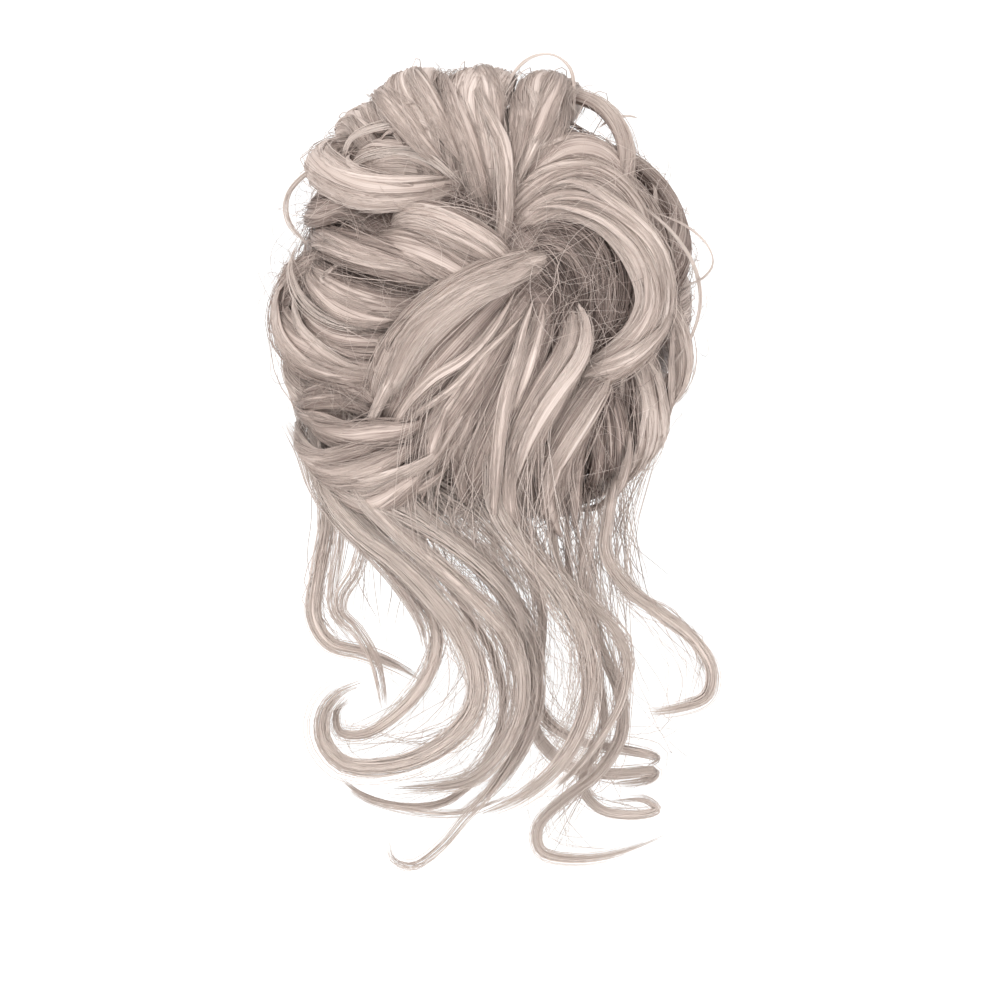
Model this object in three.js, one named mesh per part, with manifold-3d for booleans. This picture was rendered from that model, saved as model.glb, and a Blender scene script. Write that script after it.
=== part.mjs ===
// A top knot hairpiece: an elastic band, the mass of hair sewn round it with the pocket for the
// wearer's own hair, the locks pinned over that mass, and the curled tendrils that hang below.
// Millimetres. +Z is up as worn, +X is to the right and -Y faces whoever looks at the knot.
// The origin is the centre of the elastic band, where the piece sits on the back of the crown.
import * as THREE from "three";
import { mergeVertices } from "three/addons/utils/BufferGeometryUtils.js";
import Module from "manifold-3d";

const wasm = await Module();
wasm.setup();

// Driving dimensions
const BUN_WIDTH = 162; // across the knot of hair
const BUN_HEIGHT = 168; // top to underside, as worn
const BUN_DEPTH = 132; // towards the viewer
const CORE_SHARE = 0.87; // the inner mass of hair, as a share of the knot
const FALL_LENGTH = 120; // from the knot's underside to the lowest curl
const FALL_DEPTH = 36; // front to back, through the layers of tendrils
const FALL_FORWARD = 2; // from the knot's middle to the hindmost layer, towards the viewer
const HEAD_RADIUS = 96; // the curve that the far side is shaped to
const SEAT_ELEVATION = 35; // degrees from level to the band's axis
const SEAT_TO_CENTRE = 25; // from the band to the middle of the knot, along that axis
const BAND_RADIUS = 31; // to the middle of the elastic cord, stretched round the wearer's hair
const CORD_RADIUS = 3.6;
const POCKET_DEPTH = 38; // room for the wearer's own hair, past the band
const POCKET_STRAIGHT_SHARE = 0.6; // the share of that depth before it narrows
const POCKET_END_RADIUS = 12;
const LOCK_WIDTH = 14;
const LOCK_THICKNESS = 10;
const LOCK_ROOT_SHARE = 0.78; // how far out a lock's two ends lie, inside the inner mass
const LOCK_END_SHARE = 0.35; // a lock's size at its ends, as a share of its full size
const TENDRIL_WIDTH = 5.5;
const TENDRIL_THICKNESS = 3.8;
const CLEARANCE = 0.35; // between pieces that lie on each other

// How finely the faceted solids are cut
const STEPS_PER_STATION = 1.2;
const LOCK_SIDES = 6;
const TENDRIL_SIDES = 5;
const ROUND_STEPS = 28; // round the band, its pocket and the head's curve
const CORD_SIDES = 7;
const CORE_STEPS = 20;

const HAIR = { color: 0xc9b8ae, roughness: 0.55, metalness: 0 };
const ELASTIC = { color: 0x9a8d86, roughness: 0.85, metalness: 0 };

// The locks, outermost first. A route runs over the knot as the viewer sees it, in shares of its
// half width and half height from its middle; past 1 it goes round to the far side. Width and
// thickness are shares of a lock's, and crest is how far out its middle lies, as a share.
const LOCKS = [
  {
    name: "top_drop", width: 0.5, thickness: 0.6, crest: 0.98,
    route: [[-0.1, 0.96], [0.0, 0.8], [0.07, 0.62], [0.09, 0.42], [0.06, 0.22]],
  },
  {
    name: "top_branch", width: 0.5, thickness: 0.6, crest: 0.96,
    route: [[0.26, 0.96], [0.22, 0.82], [0.17, 0.66], [0.12, 0.46]],
  },
  {
    name: "left_upper_loop", width: 1.05, thickness: 1.1, crest: 0.985,
    route: [
      [-0.1, 0.6], [-0.3, 0.5], [-0.5, 0.47], [-0.68, 0.54], [-0.75, 0.68], [-0.68, 0.8], [-0.52, 0.9],
    ],
  },
  {
    name: "right_big_arc", width: 1.3, thickness: 0.9, crest: 0.97,
    route: [
      [0.12, 0.36], [0.34, 0.46], [0.54, 0.39], [0.7, 0.2], [0.76, 0.0], [0.7, -0.18], [0.55, -0.33],
      [0.38, -0.42],
    ],
  },
  {
    name: "knot_band_upper", width: 1.0, thickness: 0.9, crest: 0.96,
    route: [[-0.5, 0.4], [-0.34, 0.38], [-0.18, 0.32], [0.0, 0.24], [0.14, 0.16]],
  },
  {
    name: "fan_left_edge", width: 1.3, thickness: 0.95, crest: 0.96,
    route: [
      [0.3, 0.22], [0.1, 0.14], [-0.12, 0.02], [-0.3, -0.13], [-0.42, -0.3], [-0.5, -0.48],
      [-0.56, -0.68],
    ],
  },
  {
    name: "right_fan_middle", width: 0.9, thickness: 0.8, crest: 0.95,
    route: [[0.06, 0.4], [0.24, 0.54], [0.44, 0.58], [0.62, 0.49], [0.76, 0.33], [0.83, 0.14]],
  },
  {
    name: "ribbon_centre", width: 0.9, thickness: 0.8, crest: 0.96,
    route: [
      [0.42, 0.1], [0.44, -0.08], [0.39, -0.24], [0.28, -0.4], [0.19, -0.56], [0.14, -0.74],
      [0.2, -0.94], [0.28, -1.1], [0.34, -1.3],
    ],
  },
  {
    name: "right_low_sweep", width: 1.1, thickness: 0.85, crest: 0.95,
    route: [
      [0.7, -0.22], [0.56, -0.38], [0.43, -0.53], [0.34, -0.68], [0.32, -0.84], [0.38, -1.02],
      [0.44, -1.18], [0.48, -1.34],
    ],
  },
  {
    name: "crown_right_arc", width: 0.6, thickness: 0.55, crest: 1.02,
    route: [[0.06, 0.96], [0.3, 0.94], [0.46, 0.86], [0.58, 0.74], [0.65, 0.6], [0.67, 0.46]],
  },
  {
    name: "lower_left_band", width: 1.0, thickness: 0.8, crest: 0.95,
    route: [[-0.94, -0.42], [-0.8, -0.55], [-0.62, -0.66], [-0.42, -0.7], [-0.22, -0.66], [-0.06, -0.54]],
  },
  {
    name: "right_bottom_cup", width: 1.1, thickness: 0.8, crest: 0.95,
    route: [
      [0.76, -0.12], [0.79, -0.3], [0.79, -0.48], [0.75, -0.64], [0.66, -0.78], [0.54, -0.9],
      [0.46, -1.04], [0.38, -1.18],
    ],
  },
  {
    name: "left_middle_sweep", width: 0.95, thickness: 0.85, crest: 0.94,
    route: [[-0.12, 0.07], [-0.34, 0.14], [-0.54, 0.2], [-0.74, 0.27], [-0.92, 0.36]],
  },
  {
    name: "fan_left_inner", width: 1.15, thickness: 0.9, crest: 0.93,
    route: [
      [0.22, 0.12], [0.06, 0.0], [-0.1, -0.15], [-0.24, -0.3], [-0.36, -0.46], [-0.46, -0.66],
      [-0.5, -0.84], [-0.46, -1.02],
    ],
  },
  {
    name: "left_outer_curl", width: 1.2, thickness: 0.85, crest: 0.95,
    route: [
      [-0.84, 0.26], [-0.96, 0.12], [-0.98, -0.04], [-0.9, -0.18], [-0.74, -0.28], [-0.56, -0.34],
      [-0.38, -0.36],
    ],
  },
  {
    name: "left_lower_sweep", width: 1.0, thickness: 0.85, crest: 0.93,
    route: [[-0.94, 0.2], [-0.8, 0.09], [-0.63, 0.0], [-0.45, -0.05], [-0.26, -0.02]],
  },
  {
    name: "crown_middle", width: 1.7, thickness: 1.1, crest: 0.98,
    route: [[0.03, 0.48], [-0.04, 0.7], [-0.04, 0.92], [-0.03, 1.14], [-0.02, 1.36]],
  },
  {
    name: "crown_left", width: 1.7, thickness: 1.3, crest: 1.005,
    route: [[-0.22, 0.54], [-0.28, 0.74], [-0.34, 0.92], [-0.4, 1.1], [-0.44, 1.3]],
  },
  {
    name: "crown_right", width: 1.5, thickness: 1.2, crest: 0.985,
    route: [[0.16, 0.58], [0.23, 0.76], [0.29, 0.92], [0.37, 1.08], [0.45, 1.26]],
  },
  {
    name: "right_outer_strand", width: 0.6, thickness: 0.7, crest: 0.96,
    route: [[0.82, 0.12], [0.89, -0.06], [0.91, -0.24], [0.89, -0.42], [0.8, -0.6]],
  },
  {
    name: "knot_band_lower", width: 1.0, thickness: 0.85, crest: 0.93,
    route: [[-0.6, 0.31], [-0.42, 0.26], [-0.26, 0.2], [-0.1, 0.12], [0.06, 0.06]],
  },
  {
    name: "right_fan_upper", width: 1.1, thickness: 0.9, crest: 0.93,
    route: [[0.1, 0.48], [0.22, 0.61], [0.38, 0.69], [0.54, 0.67], [0.68, 0.56], [0.78, 0.4]],
  },
  {
    name: "fan_middle", width: 1.15, thickness: 0.9, crest: 0.94,
    route: [
      [0.26, 0.08], [0.12, -0.1], [0.0, -0.28], [-0.12, -0.46], [-0.24, -0.64], [-0.32, -0.82],
      [-0.34, -0.98], [-0.3, -1.14], [-0.24, -1.3],
    ],
  },
  {
    name: "crown_fold", width: 1.2, thickness: 0.85, crest: 0.93,
    route: [[-0.08, 0.58], [-0.26, 0.64], [-0.44, 0.68], [-0.6, 0.66], [-0.74, 0.58]],
  },
  {
    name: "fan_right", width: 1.15, thickness: 0.9, crest: 0.93,
    route: [
      [0.32, 0.04], [0.25, -0.16], [0.14, -0.36], [0.04, -0.56], [-0.04, -0.76], [-0.06, -0.96],
      [-0.02, -1.14], [0.03, -1.32],
    ],
  },
  {
    name: "crown_corner", width: 1.5, thickness: 1.25, crest: 1.0,
    route: [[-0.5, 0.74], [-0.6, 0.86], [-0.68, 0.98], [-0.74, 1.14]],
  },
  {
    name: "left_fold", width: 1.1, thickness: 0.8, crest: 0.91,
    route: [[-0.56, 0.44], [-0.68, 0.47], [-0.78, 0.44], [-0.86, 0.46], [-0.94, 0.58]],
  },
  {
    name: "left_under_sweep", width: 0.95, thickness: 0.8, crest: 0.92,
    route: [[-0.98, 0.04], [-0.86, -0.08], [-0.7, -0.17], [-0.52, -0.2], [-0.34, -0.18]],
  },
  {
    name: "right_inner_fall", width: 1.2, thickness: 0.8, crest: 0.92,
    route: [
      [0.56, -0.3], [0.6, -0.5], [0.6, -0.68], [0.54, -0.84], [0.5, -1.0], [0.48, -1.16], [0.46, -1.32],
    ],
  },
  {
    name: "lower_band", width: 1.0, thickness: 0.8, crest: 0.93,
    route: [
      [-0.9, -0.6], [-0.72, -0.72], [-0.54, -0.82], [-0.38, -0.94], [-0.24, -1.08], [-0.14, -1.24],
    ],
  },
  {
    name: "right_back_puff", width: 1.5, thickness: 0.9, crest: 0.92,
    route: [[0.56, 0.88], [0.72, 0.74], [0.86, 0.58], [0.94, 0.4], [0.95, 0.2], [0.9, 0.02]],
  },
  {
    name: "left_low_corner", width: 1.15, thickness: 0.8, crest: 0.93,
    route: [[-1.02, -0.08], [-0.97, -0.26], [-0.88, -0.42], [-0.74, -0.52], [-0.58, -0.56]],
  },
];

// The plain locks of the far side, which the wearer's head and the knot itself hide. Each starts
// at its angle round the knot's outline, 0 being the viewer's right and 90 the top, and runs on
// round to the wearer's side, turning by sweep degrees. Start and end are in the routes' shares,
// and crest is as for the locks above.
const FAR_LOCKS = [
  { name: "far_lock_1", angle: -44, sweep: 16, start: 0.9, end: 1.4, crest: 0.91 },
  { name: "far_lock_2", angle: -10, sweep: 18, start: 0.86, end: 1.6, crest: 0.89 },
  { name: "far_lock_3", angle: 26, sweep: 16, start: 0.96, end: 1.8, crest: 0.9 },
  { name: "far_lock_4", angle: 62, sweep: 12, start: 1.1, end: 1.9, crest: 0.95 },
  { name: "far_lock_5", angle: 98, sweep: 14, start: 1.2, end: 1.9, crest: 0.97 },
  { name: "far_lock_6", angle: 136, sweep: 12, start: 1.05, end: 1.8, crest: 0.97 },
  { name: "far_lock_7", angle: 172, sweep: 16, start: 0.9, end: 1.6, crest: 0.93 },
  { name: "far_lock_8", angle: 208, sweep: 14, start: 0.9, end: 1.4, crest: 0.93 },
];
const FAR_WIDTH_SHARE = 2.2; // shares of a lock's width and thickness
const FAR_THICKNESS_SHARE = 0.9;

// The tendrils, nearest the viewer first. A station is [across, down, back]: across in shares of
// the knot's half width, down in shares of the fall below the knot, back in shares of its depth.
const TENDRILS = [
  {
    name: "tendril_main", width: 1.35, tip: 0.5,
    route: [
      [0.06, -0.37, -0.15], [0.03, -0.24, -0.28], [0.04, -0.11, -0.14], [0.11, -0.015, -0.06],
      [0.23, 0.085, 0.0], [0.34, 0.18, 0.0], [0.42, 0.285, 0.0], [0.458, 0.4, 0.03],
      [0.45, 0.5, 0.03], [0.39, 0.61, 0.0], [0.29, 0.7, 0.0], [0.14, 0.78, 0.05], [-0.02, 0.83, 0.2],
    ],
  },
  {
    name: "tendril_hook_wide", width: 1.7, tip: 0.4,
    route: [
      [-0.72, -0.38, 0.36], [-0.75, -0.23, 0.3], [-0.69, -0.11, 0.22], [-0.56, -0.01, 0.15],
      [-0.4, 0.07, 0.1], [-0.25, 0.17, 0.08], [-0.12, 0.285, 0.1], [-0.05, 0.4, 0.1],
      [-0.05, 0.5, 0.1], [-0.14, 0.59, 0.1], [-0.3, 0.66, 0.15],
      [-0.48, 0.69, 0.2], [-0.64, 0.68, 0.3], [-0.73, 0.61, 0.42], [-0.73, 0.53, 0.5],
      [-0.66, 0.47, 0.52], [-0.56, 0.44, 0.5],
    ],
  },
  {
    name: "tendril_far_right", width: 0.95, tip: 0.5,
    route: [
      [0.6, -0.25, 0.6], [0.54, -0.06, 0.3], [0.53, 0.05, 0.25], [0.62, 0.15, 0.25],
      [0.77, 0.23, 0.25], [0.92, 0.31, 0.3], [1.0, 0.4, 0.35], [0.98, 0.48, 0.45], [0.86, 0.515, 0.5],
      [0.7, 0.53, 0.5],
    ],
  },
  {
    name: "tendril_right_bow", width: 0.75, tip: 0.5,
    route: [
      [0.3, -0.2, 0.5], [0.32, 0.08, 0.25], [0.45, 0.19, 0.2], [0.57, 0.28, 0.2], [0.625, 0.38, 0.2],
      [0.6, 0.49, 0.2], [0.52, 0.59, 0.2], [0.42, 0.68, 0.2], [0.3, 0.76, 0.25],
    ],
  },
  {
    name: "tendril_hook_small", width: 1.0, tip: 0.4,
    route: [
      [-0.56, -0.26, 0.5], [-0.62, -0.12, 0.38], [-0.54, 0.01, 0.31], [-0.42, 0.09, 0.28],
      [-0.31, 0.17, 0.28], [-0.235, 0.26, 0.3], [-0.23, 0.35, 0.3], [-0.28, 0.44, 0.3],
      [-0.38, 0.52, 0.3], [-0.53, 0.59, 0.35],
      [-0.65, 0.59, 0.45], [-0.67, 0.53, 0.64],
      [-0.62, 0.49, 0.72],
    ],
  },
  {
    name: "tendril_centre_left", width: 1.4, tip: 0.3,
    route: [
      [-0.6, -0.4, 0.2], [-0.62, -0.26, 0.08], [-0.56, -0.14, 0.0], [-0.45, -0.05, -0.02],
      [-0.32, 0.03, 0.0], [-0.15, 0.13, 0.05], [-0.01, 0.22, 0.12], [0.1, 0.31, 0.22],
      [0.15, 0.42, 0.28], [0.14, 0.53, 0.3], [0.06, 0.65, 0.3], [-0.07, 0.73, 0.35],
      [-0.24, 0.755, 0.45], [-0.42, 0.76, 0.55],
    ],
  },
  {
    name: "tendril_low_curl", width: 0.95, tip: 0.3,
    route: [
      [0.48, -0.2, 0.75], [0.42, 0.06, 0.45], [0.45, 0.22, 0.45], [0.53, 0.36, 0.45],
      [0.6, 0.48, 0.45], [0.6, 0.6, 0.45], [0.5, 0.71, 0.45], [0.35, 0.79, 0.45], [0.23, 0.87, 0.45],
      [0.24, 0.945, 0.5], [0.38, 0.97, 0.55], [0.58, 0.955, 0.6], [0.8, 0.9, 0.7],
    ],
  },
  {
    name: "tendril_centre", width: 1.4, tip: 0.35,
    route: [
      [-0.42, -0.38, 0.05], [-0.44, -0.22, -0.05], [-0.34, -0.1, -0.05], [-0.2, -0.02, 0.05],
      [-0.06, 0.06, 0.16], [0.06, 0.15, 0.3], [0.16, 0.26, 0.42], [0.22, 0.39, 0.5],
      [0.21, 0.53, 0.5], [0.14, 0.65, 0.5], [0.02, 0.76, 0.5], [-0.14, 0.84, 0.5],
    ],
  },
  {
    name: "tendril_ear", width: 1.15, tip: 0.45,
    route: [
      [-0.8, -0.44, 0.68], [-0.76, -0.3, 0.56], [-0.72, -0.16, 0.5], [-0.715, -0.04, 0.5],
      [-0.75, 0.1, 0.53],
      [-0.77, 0.24, 0.55], [-0.7, 0.32, 0.5], [-0.55, 0.35, 0.5], [-0.42, 0.385, 0.5],
      [-0.3, 0.43, 0.55],
    ],
  },
  {
    name: "tendril_back_sweep", width: 0.9, tip: 0.5,
    route: [
      [0.14, -0.2, 0.85], [0.18, 0.05, 0.75], [0.24, 0.22, 0.75], [0.23, 0.38, 0.75],
      [0.22, 0.5, 0.75], [0.3, 0.58, 0.75], [0.45, 0.63, 0.75], [0.62, 0.645, 0.7], [0.76, 0.67, 0.75],
      [0.72, 0.695, 0.88],
    ],
  },
  {
    name: "tendril_back_curl", width: 0.85, tip: 0.5,
    route: [
      [0.02, -0.2, 0.95], [0.04, 0.1, 0.9], [0.14, 0.3, 0.9], [0.17, 0.47, 0.9], [0.24, 0.62, 0.9],
      [0.38, 0.7, 0.9], [0.56, 0.72, 0.85], [0.75, 0.715, 0.9], [0.72, 0.74, 1.0], [0.56, 0.755, 1.0],
    ],
  },
  {
    name: "tendril_low_loop", width: 0.7, tip: 0.6,
    route: [
      [0.36, -0.2, 0.9], [0.36, 0.08, 0.65], [0.4, 0.26, 0.65], [0.5, 0.44, 0.65], [0.52, 0.6, 0.65],
      [0.42, 0.74, 0.65], [0.5, 0.82, 0.62], [0.65, 0.84, 0.62], [0.76, 0.825, 0.7], [0.7, 0.795, 0.8],
      [0.56, 0.8, 0.85],
    ],
  },
  {
    name: "tendril_under_hook", width: 0.6, tip: 0.5,
    route: [
      [-0.36, -0.2, 0.9], [-0.26, 0.05, 0.85], [-0.1, 0.22, 0.85], [0.04, 0.38, 0.85],
      [0.07, 0.55, 0.85], [-0.02, 0.7, 0.85], [-0.18, 0.8, 0.8], [-0.38, 0.815, 0.75],
      [-0.56, 0.78, 0.75], [-0.66, 0.73, 0.8],
    ],
  },
];

// Sizes worked out from those above
const halfWidth = BUN_WIDTH / 2;
const halfHeight = BUN_HEIGHT / 2;
const halfDepth = BUN_DEPTH / 2;
const seatAngle = THREE.MathUtils.degToRad(SEAT_ELEVATION);
const seatAxis = new THREE.Vector3(0, -Math.cos(seatAngle), Math.sin(seatAngle));
const bunCentre = seatAxis.clone().multiplyScalar(SEAT_TO_CENTRE);
const fallTop = -halfHeight; // heights here are from the knot's middle
const fallFront = -FALL_FORWARD - FALL_DEPTH;

// A geometry as a solid, placed by a matrix where one is given.
function toSolid(geometry, matrix = new THREE.Matrix4()) {
  const bare = new THREE.BufferGeometry().setAttribute("position", geometry.getAttribute("position").clone());
  if (geometry.index) bare.setIndex(geometry.index);
  const merged = mergeVertices(bare.applyMatrix4(matrix), 1e-4);
  return new wasm.Manifold(
    new wasm.Mesh({
      numProp: 3,
      vertProperties: merged.attributes.position.array,
      triVerts: new Uint32Array(merged.index.array),
    }),
  );
}

// A solid's largest body as a geometry for a mesh.
function toGeometry(solid) {
  const largest = solid.decompose().sort((a, b) => b.volume() - a.volume())[0];
  const { numProp, numVert, vertProperties, triVerts } = largest.getMesh();
  const positions = new Float32Array(numVert * 3);
  for (let i = 0; i < numVert; i++) {
    positions.set(vertProperties.subarray(i * numProp, i * numProp + 3), i * 3);
  }
  const geometry = new THREE.BufferGeometry();
  geometry.setAttribute("position", new THREE.BufferAttribute(positions, 3));
  geometry.setIndex(new THREE.BufferAttribute(triVerts, 1));
  geometry.computeVertexNormals();
  return geometry;
}

// A closed skin over rings of points, each end closed to the ring's own middle.
function loft(rings) {
  const sides = rings[0].length;
  const middle = (ring) => ring.reduce((sum, p) => sum.add(p), new THREE.Vector3()).divideScalar(sides);
  const points = [...rings.flat(), middle(rings[0]), middle(rings[rings.length - 1])];
  const first = points.length - 2;
  const last = points.length - 1;
  const faces = [];
  for (let i = 0; i < sides; i++) {
    const j = (i + 1) % sides;
    for (let r = 0; r + 1 < rings.length; r++) {
      const [a, b] = [r * sides + i, r * sides + j];
      faces.push(a, b, b + sides, a, b + sides, a + sides);
    }
    const end = (rings.length - 1) * sides;
    faces.push(first, j, i, last, end + i, end + j);
  }
  const geometry = new THREE.BufferGeometry().setFromPoints(points);
  geometry.setIndex(faces);
  return geometry;
}

// The way from the knot's middle to a station of a route, where 1 is the knot's outline as seen.
function wayTo([across, up]) {
  const reach = Math.hypot(across, up);
  if (reach < 1) return new THREE.Vector3(across, -Math.sqrt(1 - reach * reach), up);
  const round = (reach - 1) * (Math.PI / 2);
  const level = Math.cos(round) / reach;
  return new THREE.Vector3(across * level, Math.sin(round), up * level);
}

// The flattened tube along a line, whose frame at t gives its middle, facing, width and thickness.
function tube(frameAt, steps, sides, grow) {
  const line = [];
  for (let i = 0; i <= steps; i++) line.push(frameAt(i / steps));
  const rings = line.map(({ middle, facing, width, thickness }, i) => {
    const before = line[Math.max(i - 1, 0)].middle;
    const after = line[Math.min(i + 1, steps)].middle;
    const along = after.clone().sub(before).normalize();
    const side = new THREE.Vector3().crossVectors(facing, along).normalize();
    const out = new THREE.Vector3().crossVectors(along, side).normalize();
    const shift = i === 0 ? -grow : i === steps ? grow : 0;
    const centre = middle.clone().addScaledVector(along, shift);
    return Array.from({ length: sides }, (_, k) => {
      const angle = ((k + 0.5) * 2 * Math.PI) / sides;
      return centre
        .clone()
        .addScaledVector(side, (width / 2 + grow) * Math.cos(angle))
        .addScaledVector(out, (thickness / 2 + grow) * Math.sin(angle));
    });
  });
  return toSolid(loft(rings));
}

// A lock over the knot: it rises out of the inner mass, lies over it and goes back in.
function lock({ route, width, thickness, crest }, grow = 0) {
  const line = new THREE.CatmullRomCurve3(route.map(wayTo), false, "centripetal");
  const size = new THREE.Vector3(halfWidth, halfDepth, halfHeight);
  return tube(
    (t) => {
      const way = line.getPoint(t).normalize();
      const rise = Math.sin(Math.PI * t) ** 0.6;
      const full = LOCK_END_SHARE + (1 - LOCK_END_SHARE) * rise;
      return {
        middle: way.clone().multiply(size).multiplyScalar(LOCK_ROOT_SHARE + (crest - LOCK_ROOT_SHARE) * rise),
        facing: way.clone().divide(size).normalize(),
        width: width * LOCK_WIDTH * full,
        thickness: thickness * LOCK_THICKNESS * full,
      };
    },
    Math.round((route.length - 1) * STEPS_PER_STATION),
    LOCK_SIDES,
    grow,
  );
}

// A far side lock's route and sizes, written out as a row of the table above.
function farLock({ name, angle, sweep, start, end, crest }) {
  const route = [0, 0.33, 0.67, 1].map((t) => {
    const turn = THREE.MathUtils.degToRad(angle + sweep * Math.sin(t * Math.PI * 0.5));
    const reach = start + (end - start) * t;
    return [reach * Math.cos(turn), reach * Math.sin(turn)];
  });
  return { name, route, width: FAR_WIDTH_SHARE, thickness: FAR_THICKNESS_SHARE, crest };
}

// A tendril: a flattened tube that thins towards its tip.
function tendril({ route, width, tip }, grow = 0) {
  const stations = route.map(
    ([across, down, back]) =>
      new THREE.Vector3(across * halfWidth, fallFront + back * FALL_DEPTH, fallTop - down * FALL_LENGTH),
  );
  const line = new THREE.CatmullRomCurve3(stations, false, "centripetal");
  const viewer = new THREE.Vector3(0, -1, 0);
  return tube(
    (t) => {
      const full = 1 - (1 - tip) * t ** 3;
      return {
        middle: line.getPoint(t),
        facing: viewer,
        width: width * TENDRIL_WIDTH * full,
        thickness: Math.min(width, 1) * TENDRIL_THICKNESS * full,
      };
    },
    Math.round((route.length - 1) * STEPS_PER_STATION),
    TENDRIL_SIDES,
    grow,
  );
}

// The knot's frame is at its middle; the seat's is at the band, with +Z along the band's axis.
const toSeat = new THREE.Matrix4().makeTranslation(bunCentre.clone().negate());
toSeat.multiply(new THREE.Matrix4().makeRotationX(Math.PI / 2 - seatAngle));

// The inner mass: an egg of hair, hollowed by the head and by the pocket for the wearer's own hair.
function innerMass(grow = 0) {
  const egg = new THREE.SphereGeometry(1, CORE_STEPS, CORE_STEPS / 2);
  egg.rotateX(Math.PI / 2);
  egg.scale(halfWidth * CORE_SHARE + grow, halfDepth * CORE_SHARE + grow, halfHeight * CORE_SHARE + grow);
  return toSolid(egg);
}

function headShape() {
  const ball = new THREE.SphereGeometry(HEAD_RADIUS, ROUND_STEPS, ROUND_STEPS);
  ball.rotateX(Math.PI / 2).translate(0, 0, -HEAD_RADIUS);
  return toSolid(ball, toSeat);
}

function pocket() {
  const mouth = BAND_RADIUS + CORD_RADIUS + CLEARANCE;
  const inside = BAND_RADIUS - CORD_RADIUS;
  const below = -(mouth ** 2) / HEAD_RADIUS - CORD_RADIUS; // under the head's curve at the mouth
  const profile = [
    [0, below],
    [mouth, below],
    [mouth, CORD_RADIUS + CLEARANCE],
    [inside, CORD_RADIUS + CLEARANCE + 1],
    [inside, POCKET_DEPTH * POCKET_STRAIGHT_SHARE],
    [POCKET_END_RADIUS, POCKET_DEPTH],
    [0, POCKET_DEPTH],
  ].map(([x, y]) => new THREE.Vector2(x, y));
  const turned = new THREE.LatheGeometry(profile, ROUND_STEPS).rotateX(Math.PI / 2);
  return toSolid(turned, toSeat);
}

function piece(name, geometry, finish) {
  const mesh = new THREE.Mesh(geometry, new THREE.MeshStandardMaterial(finish));
  mesh.name = name;
  return mesh;
}

// The pieces in the order in which they claim their room: each is cut clear of those before it.
const mass = innerMass().subtract(headShape()).subtract(pocket());
const massRoom = innerMass(CLEARANCE);
const head = headShape();
const pieces = [];
const allLocks = [...LOCKS, ...FAR_LOCKS.map(farLock)];
const shapes = [
  ...TENDRILS.map((row) => ({ name: row.name, make: (grow) => tendril(row, grow) })),
  ...allLocks.map((row) => ({ name: row.name, make: (grow) => lock(row, grow) })),
];
const claimed = [massRoom, head];
for (const { name, make } of shapes) {
  let solid = make(0);
  for (const other of claimed) solid = solid.subtract(other);
  claimed.push(make(CLEARANCE));
  pieces.push(piece(name, toGeometry(solid), HAIR));
}

const knot = new THREE.Group();
knot.position.copy(bunCentre);
knot.add(piece("inner_mass", toGeometry(mass), HAIR), ...pieces);

const cord = new THREE.TorusGeometry(BAND_RADIUS, CORD_RADIUS, CORD_SIDES, ROUND_STEPS);
const seat = new THREE.Group();
seat.rotation.x = Math.PI / 2 - seatAngle;
seat.add(piece("elastic_band", cord, ELASTIC));

const hairpiece = new THREE.Group();
hairpiece.add(seat, knot);

export default hairpiece;
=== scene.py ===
"""The looks of the top knot hairpiece: combed locks, curled tendrils and loose fine hair.

Metres, in the frame of the CAD model: +Z is up as worn and -Y faces the viewer.
"""
import math

import bpy
import numpy as np
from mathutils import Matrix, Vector
from mathutils.bvhtree import BVHTree


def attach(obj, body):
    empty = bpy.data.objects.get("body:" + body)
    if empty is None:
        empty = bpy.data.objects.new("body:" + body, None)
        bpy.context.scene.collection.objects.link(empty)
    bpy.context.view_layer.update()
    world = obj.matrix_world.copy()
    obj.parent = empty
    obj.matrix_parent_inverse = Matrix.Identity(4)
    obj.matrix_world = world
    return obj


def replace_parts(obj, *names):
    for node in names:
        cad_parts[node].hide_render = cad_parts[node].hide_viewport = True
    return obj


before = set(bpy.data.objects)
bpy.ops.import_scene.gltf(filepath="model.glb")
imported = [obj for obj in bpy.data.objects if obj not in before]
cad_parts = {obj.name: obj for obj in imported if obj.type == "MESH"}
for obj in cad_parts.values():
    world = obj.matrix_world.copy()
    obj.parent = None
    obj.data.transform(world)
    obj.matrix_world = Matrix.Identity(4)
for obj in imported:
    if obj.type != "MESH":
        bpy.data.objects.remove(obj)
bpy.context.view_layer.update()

# Sizes that the CAD model has too
MM = 0.001
HALF_WIDTH = 81 * MM
HALF_DEPTH = 66 * MM
HALF_HEIGHT = 84 * MM
CORE_SHARE = 0.87
FALL_LENGTH = 120 * MM
FALL_DEPTH = 36 * MM
FALL_FORWARD = 2 * MM
HEAD_RADIUS = 96 * MM
SEAT_ELEVATION = math.radians(35)
SEAT_TO_CENTRE = 25 * MM
BAND_RADIUS = 31 * MM
CORD_RADIUS = 3.6 * MM
LOCK_WIDTH = 14 * MM
LOCK_THICKNESS = 10 * MM
LOCK_ROOT_SHARE = 0.78
LOCK_END_SHARE = 0.35
TENDRIL_WIDTH = 5.5 * MM
TENDRIL_THICKNESS = 3.8 * MM
FAR_LOOK = {"width": 2.2, "thickness": 0.9, "strands": 0.62}  # shares of a lock's

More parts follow.
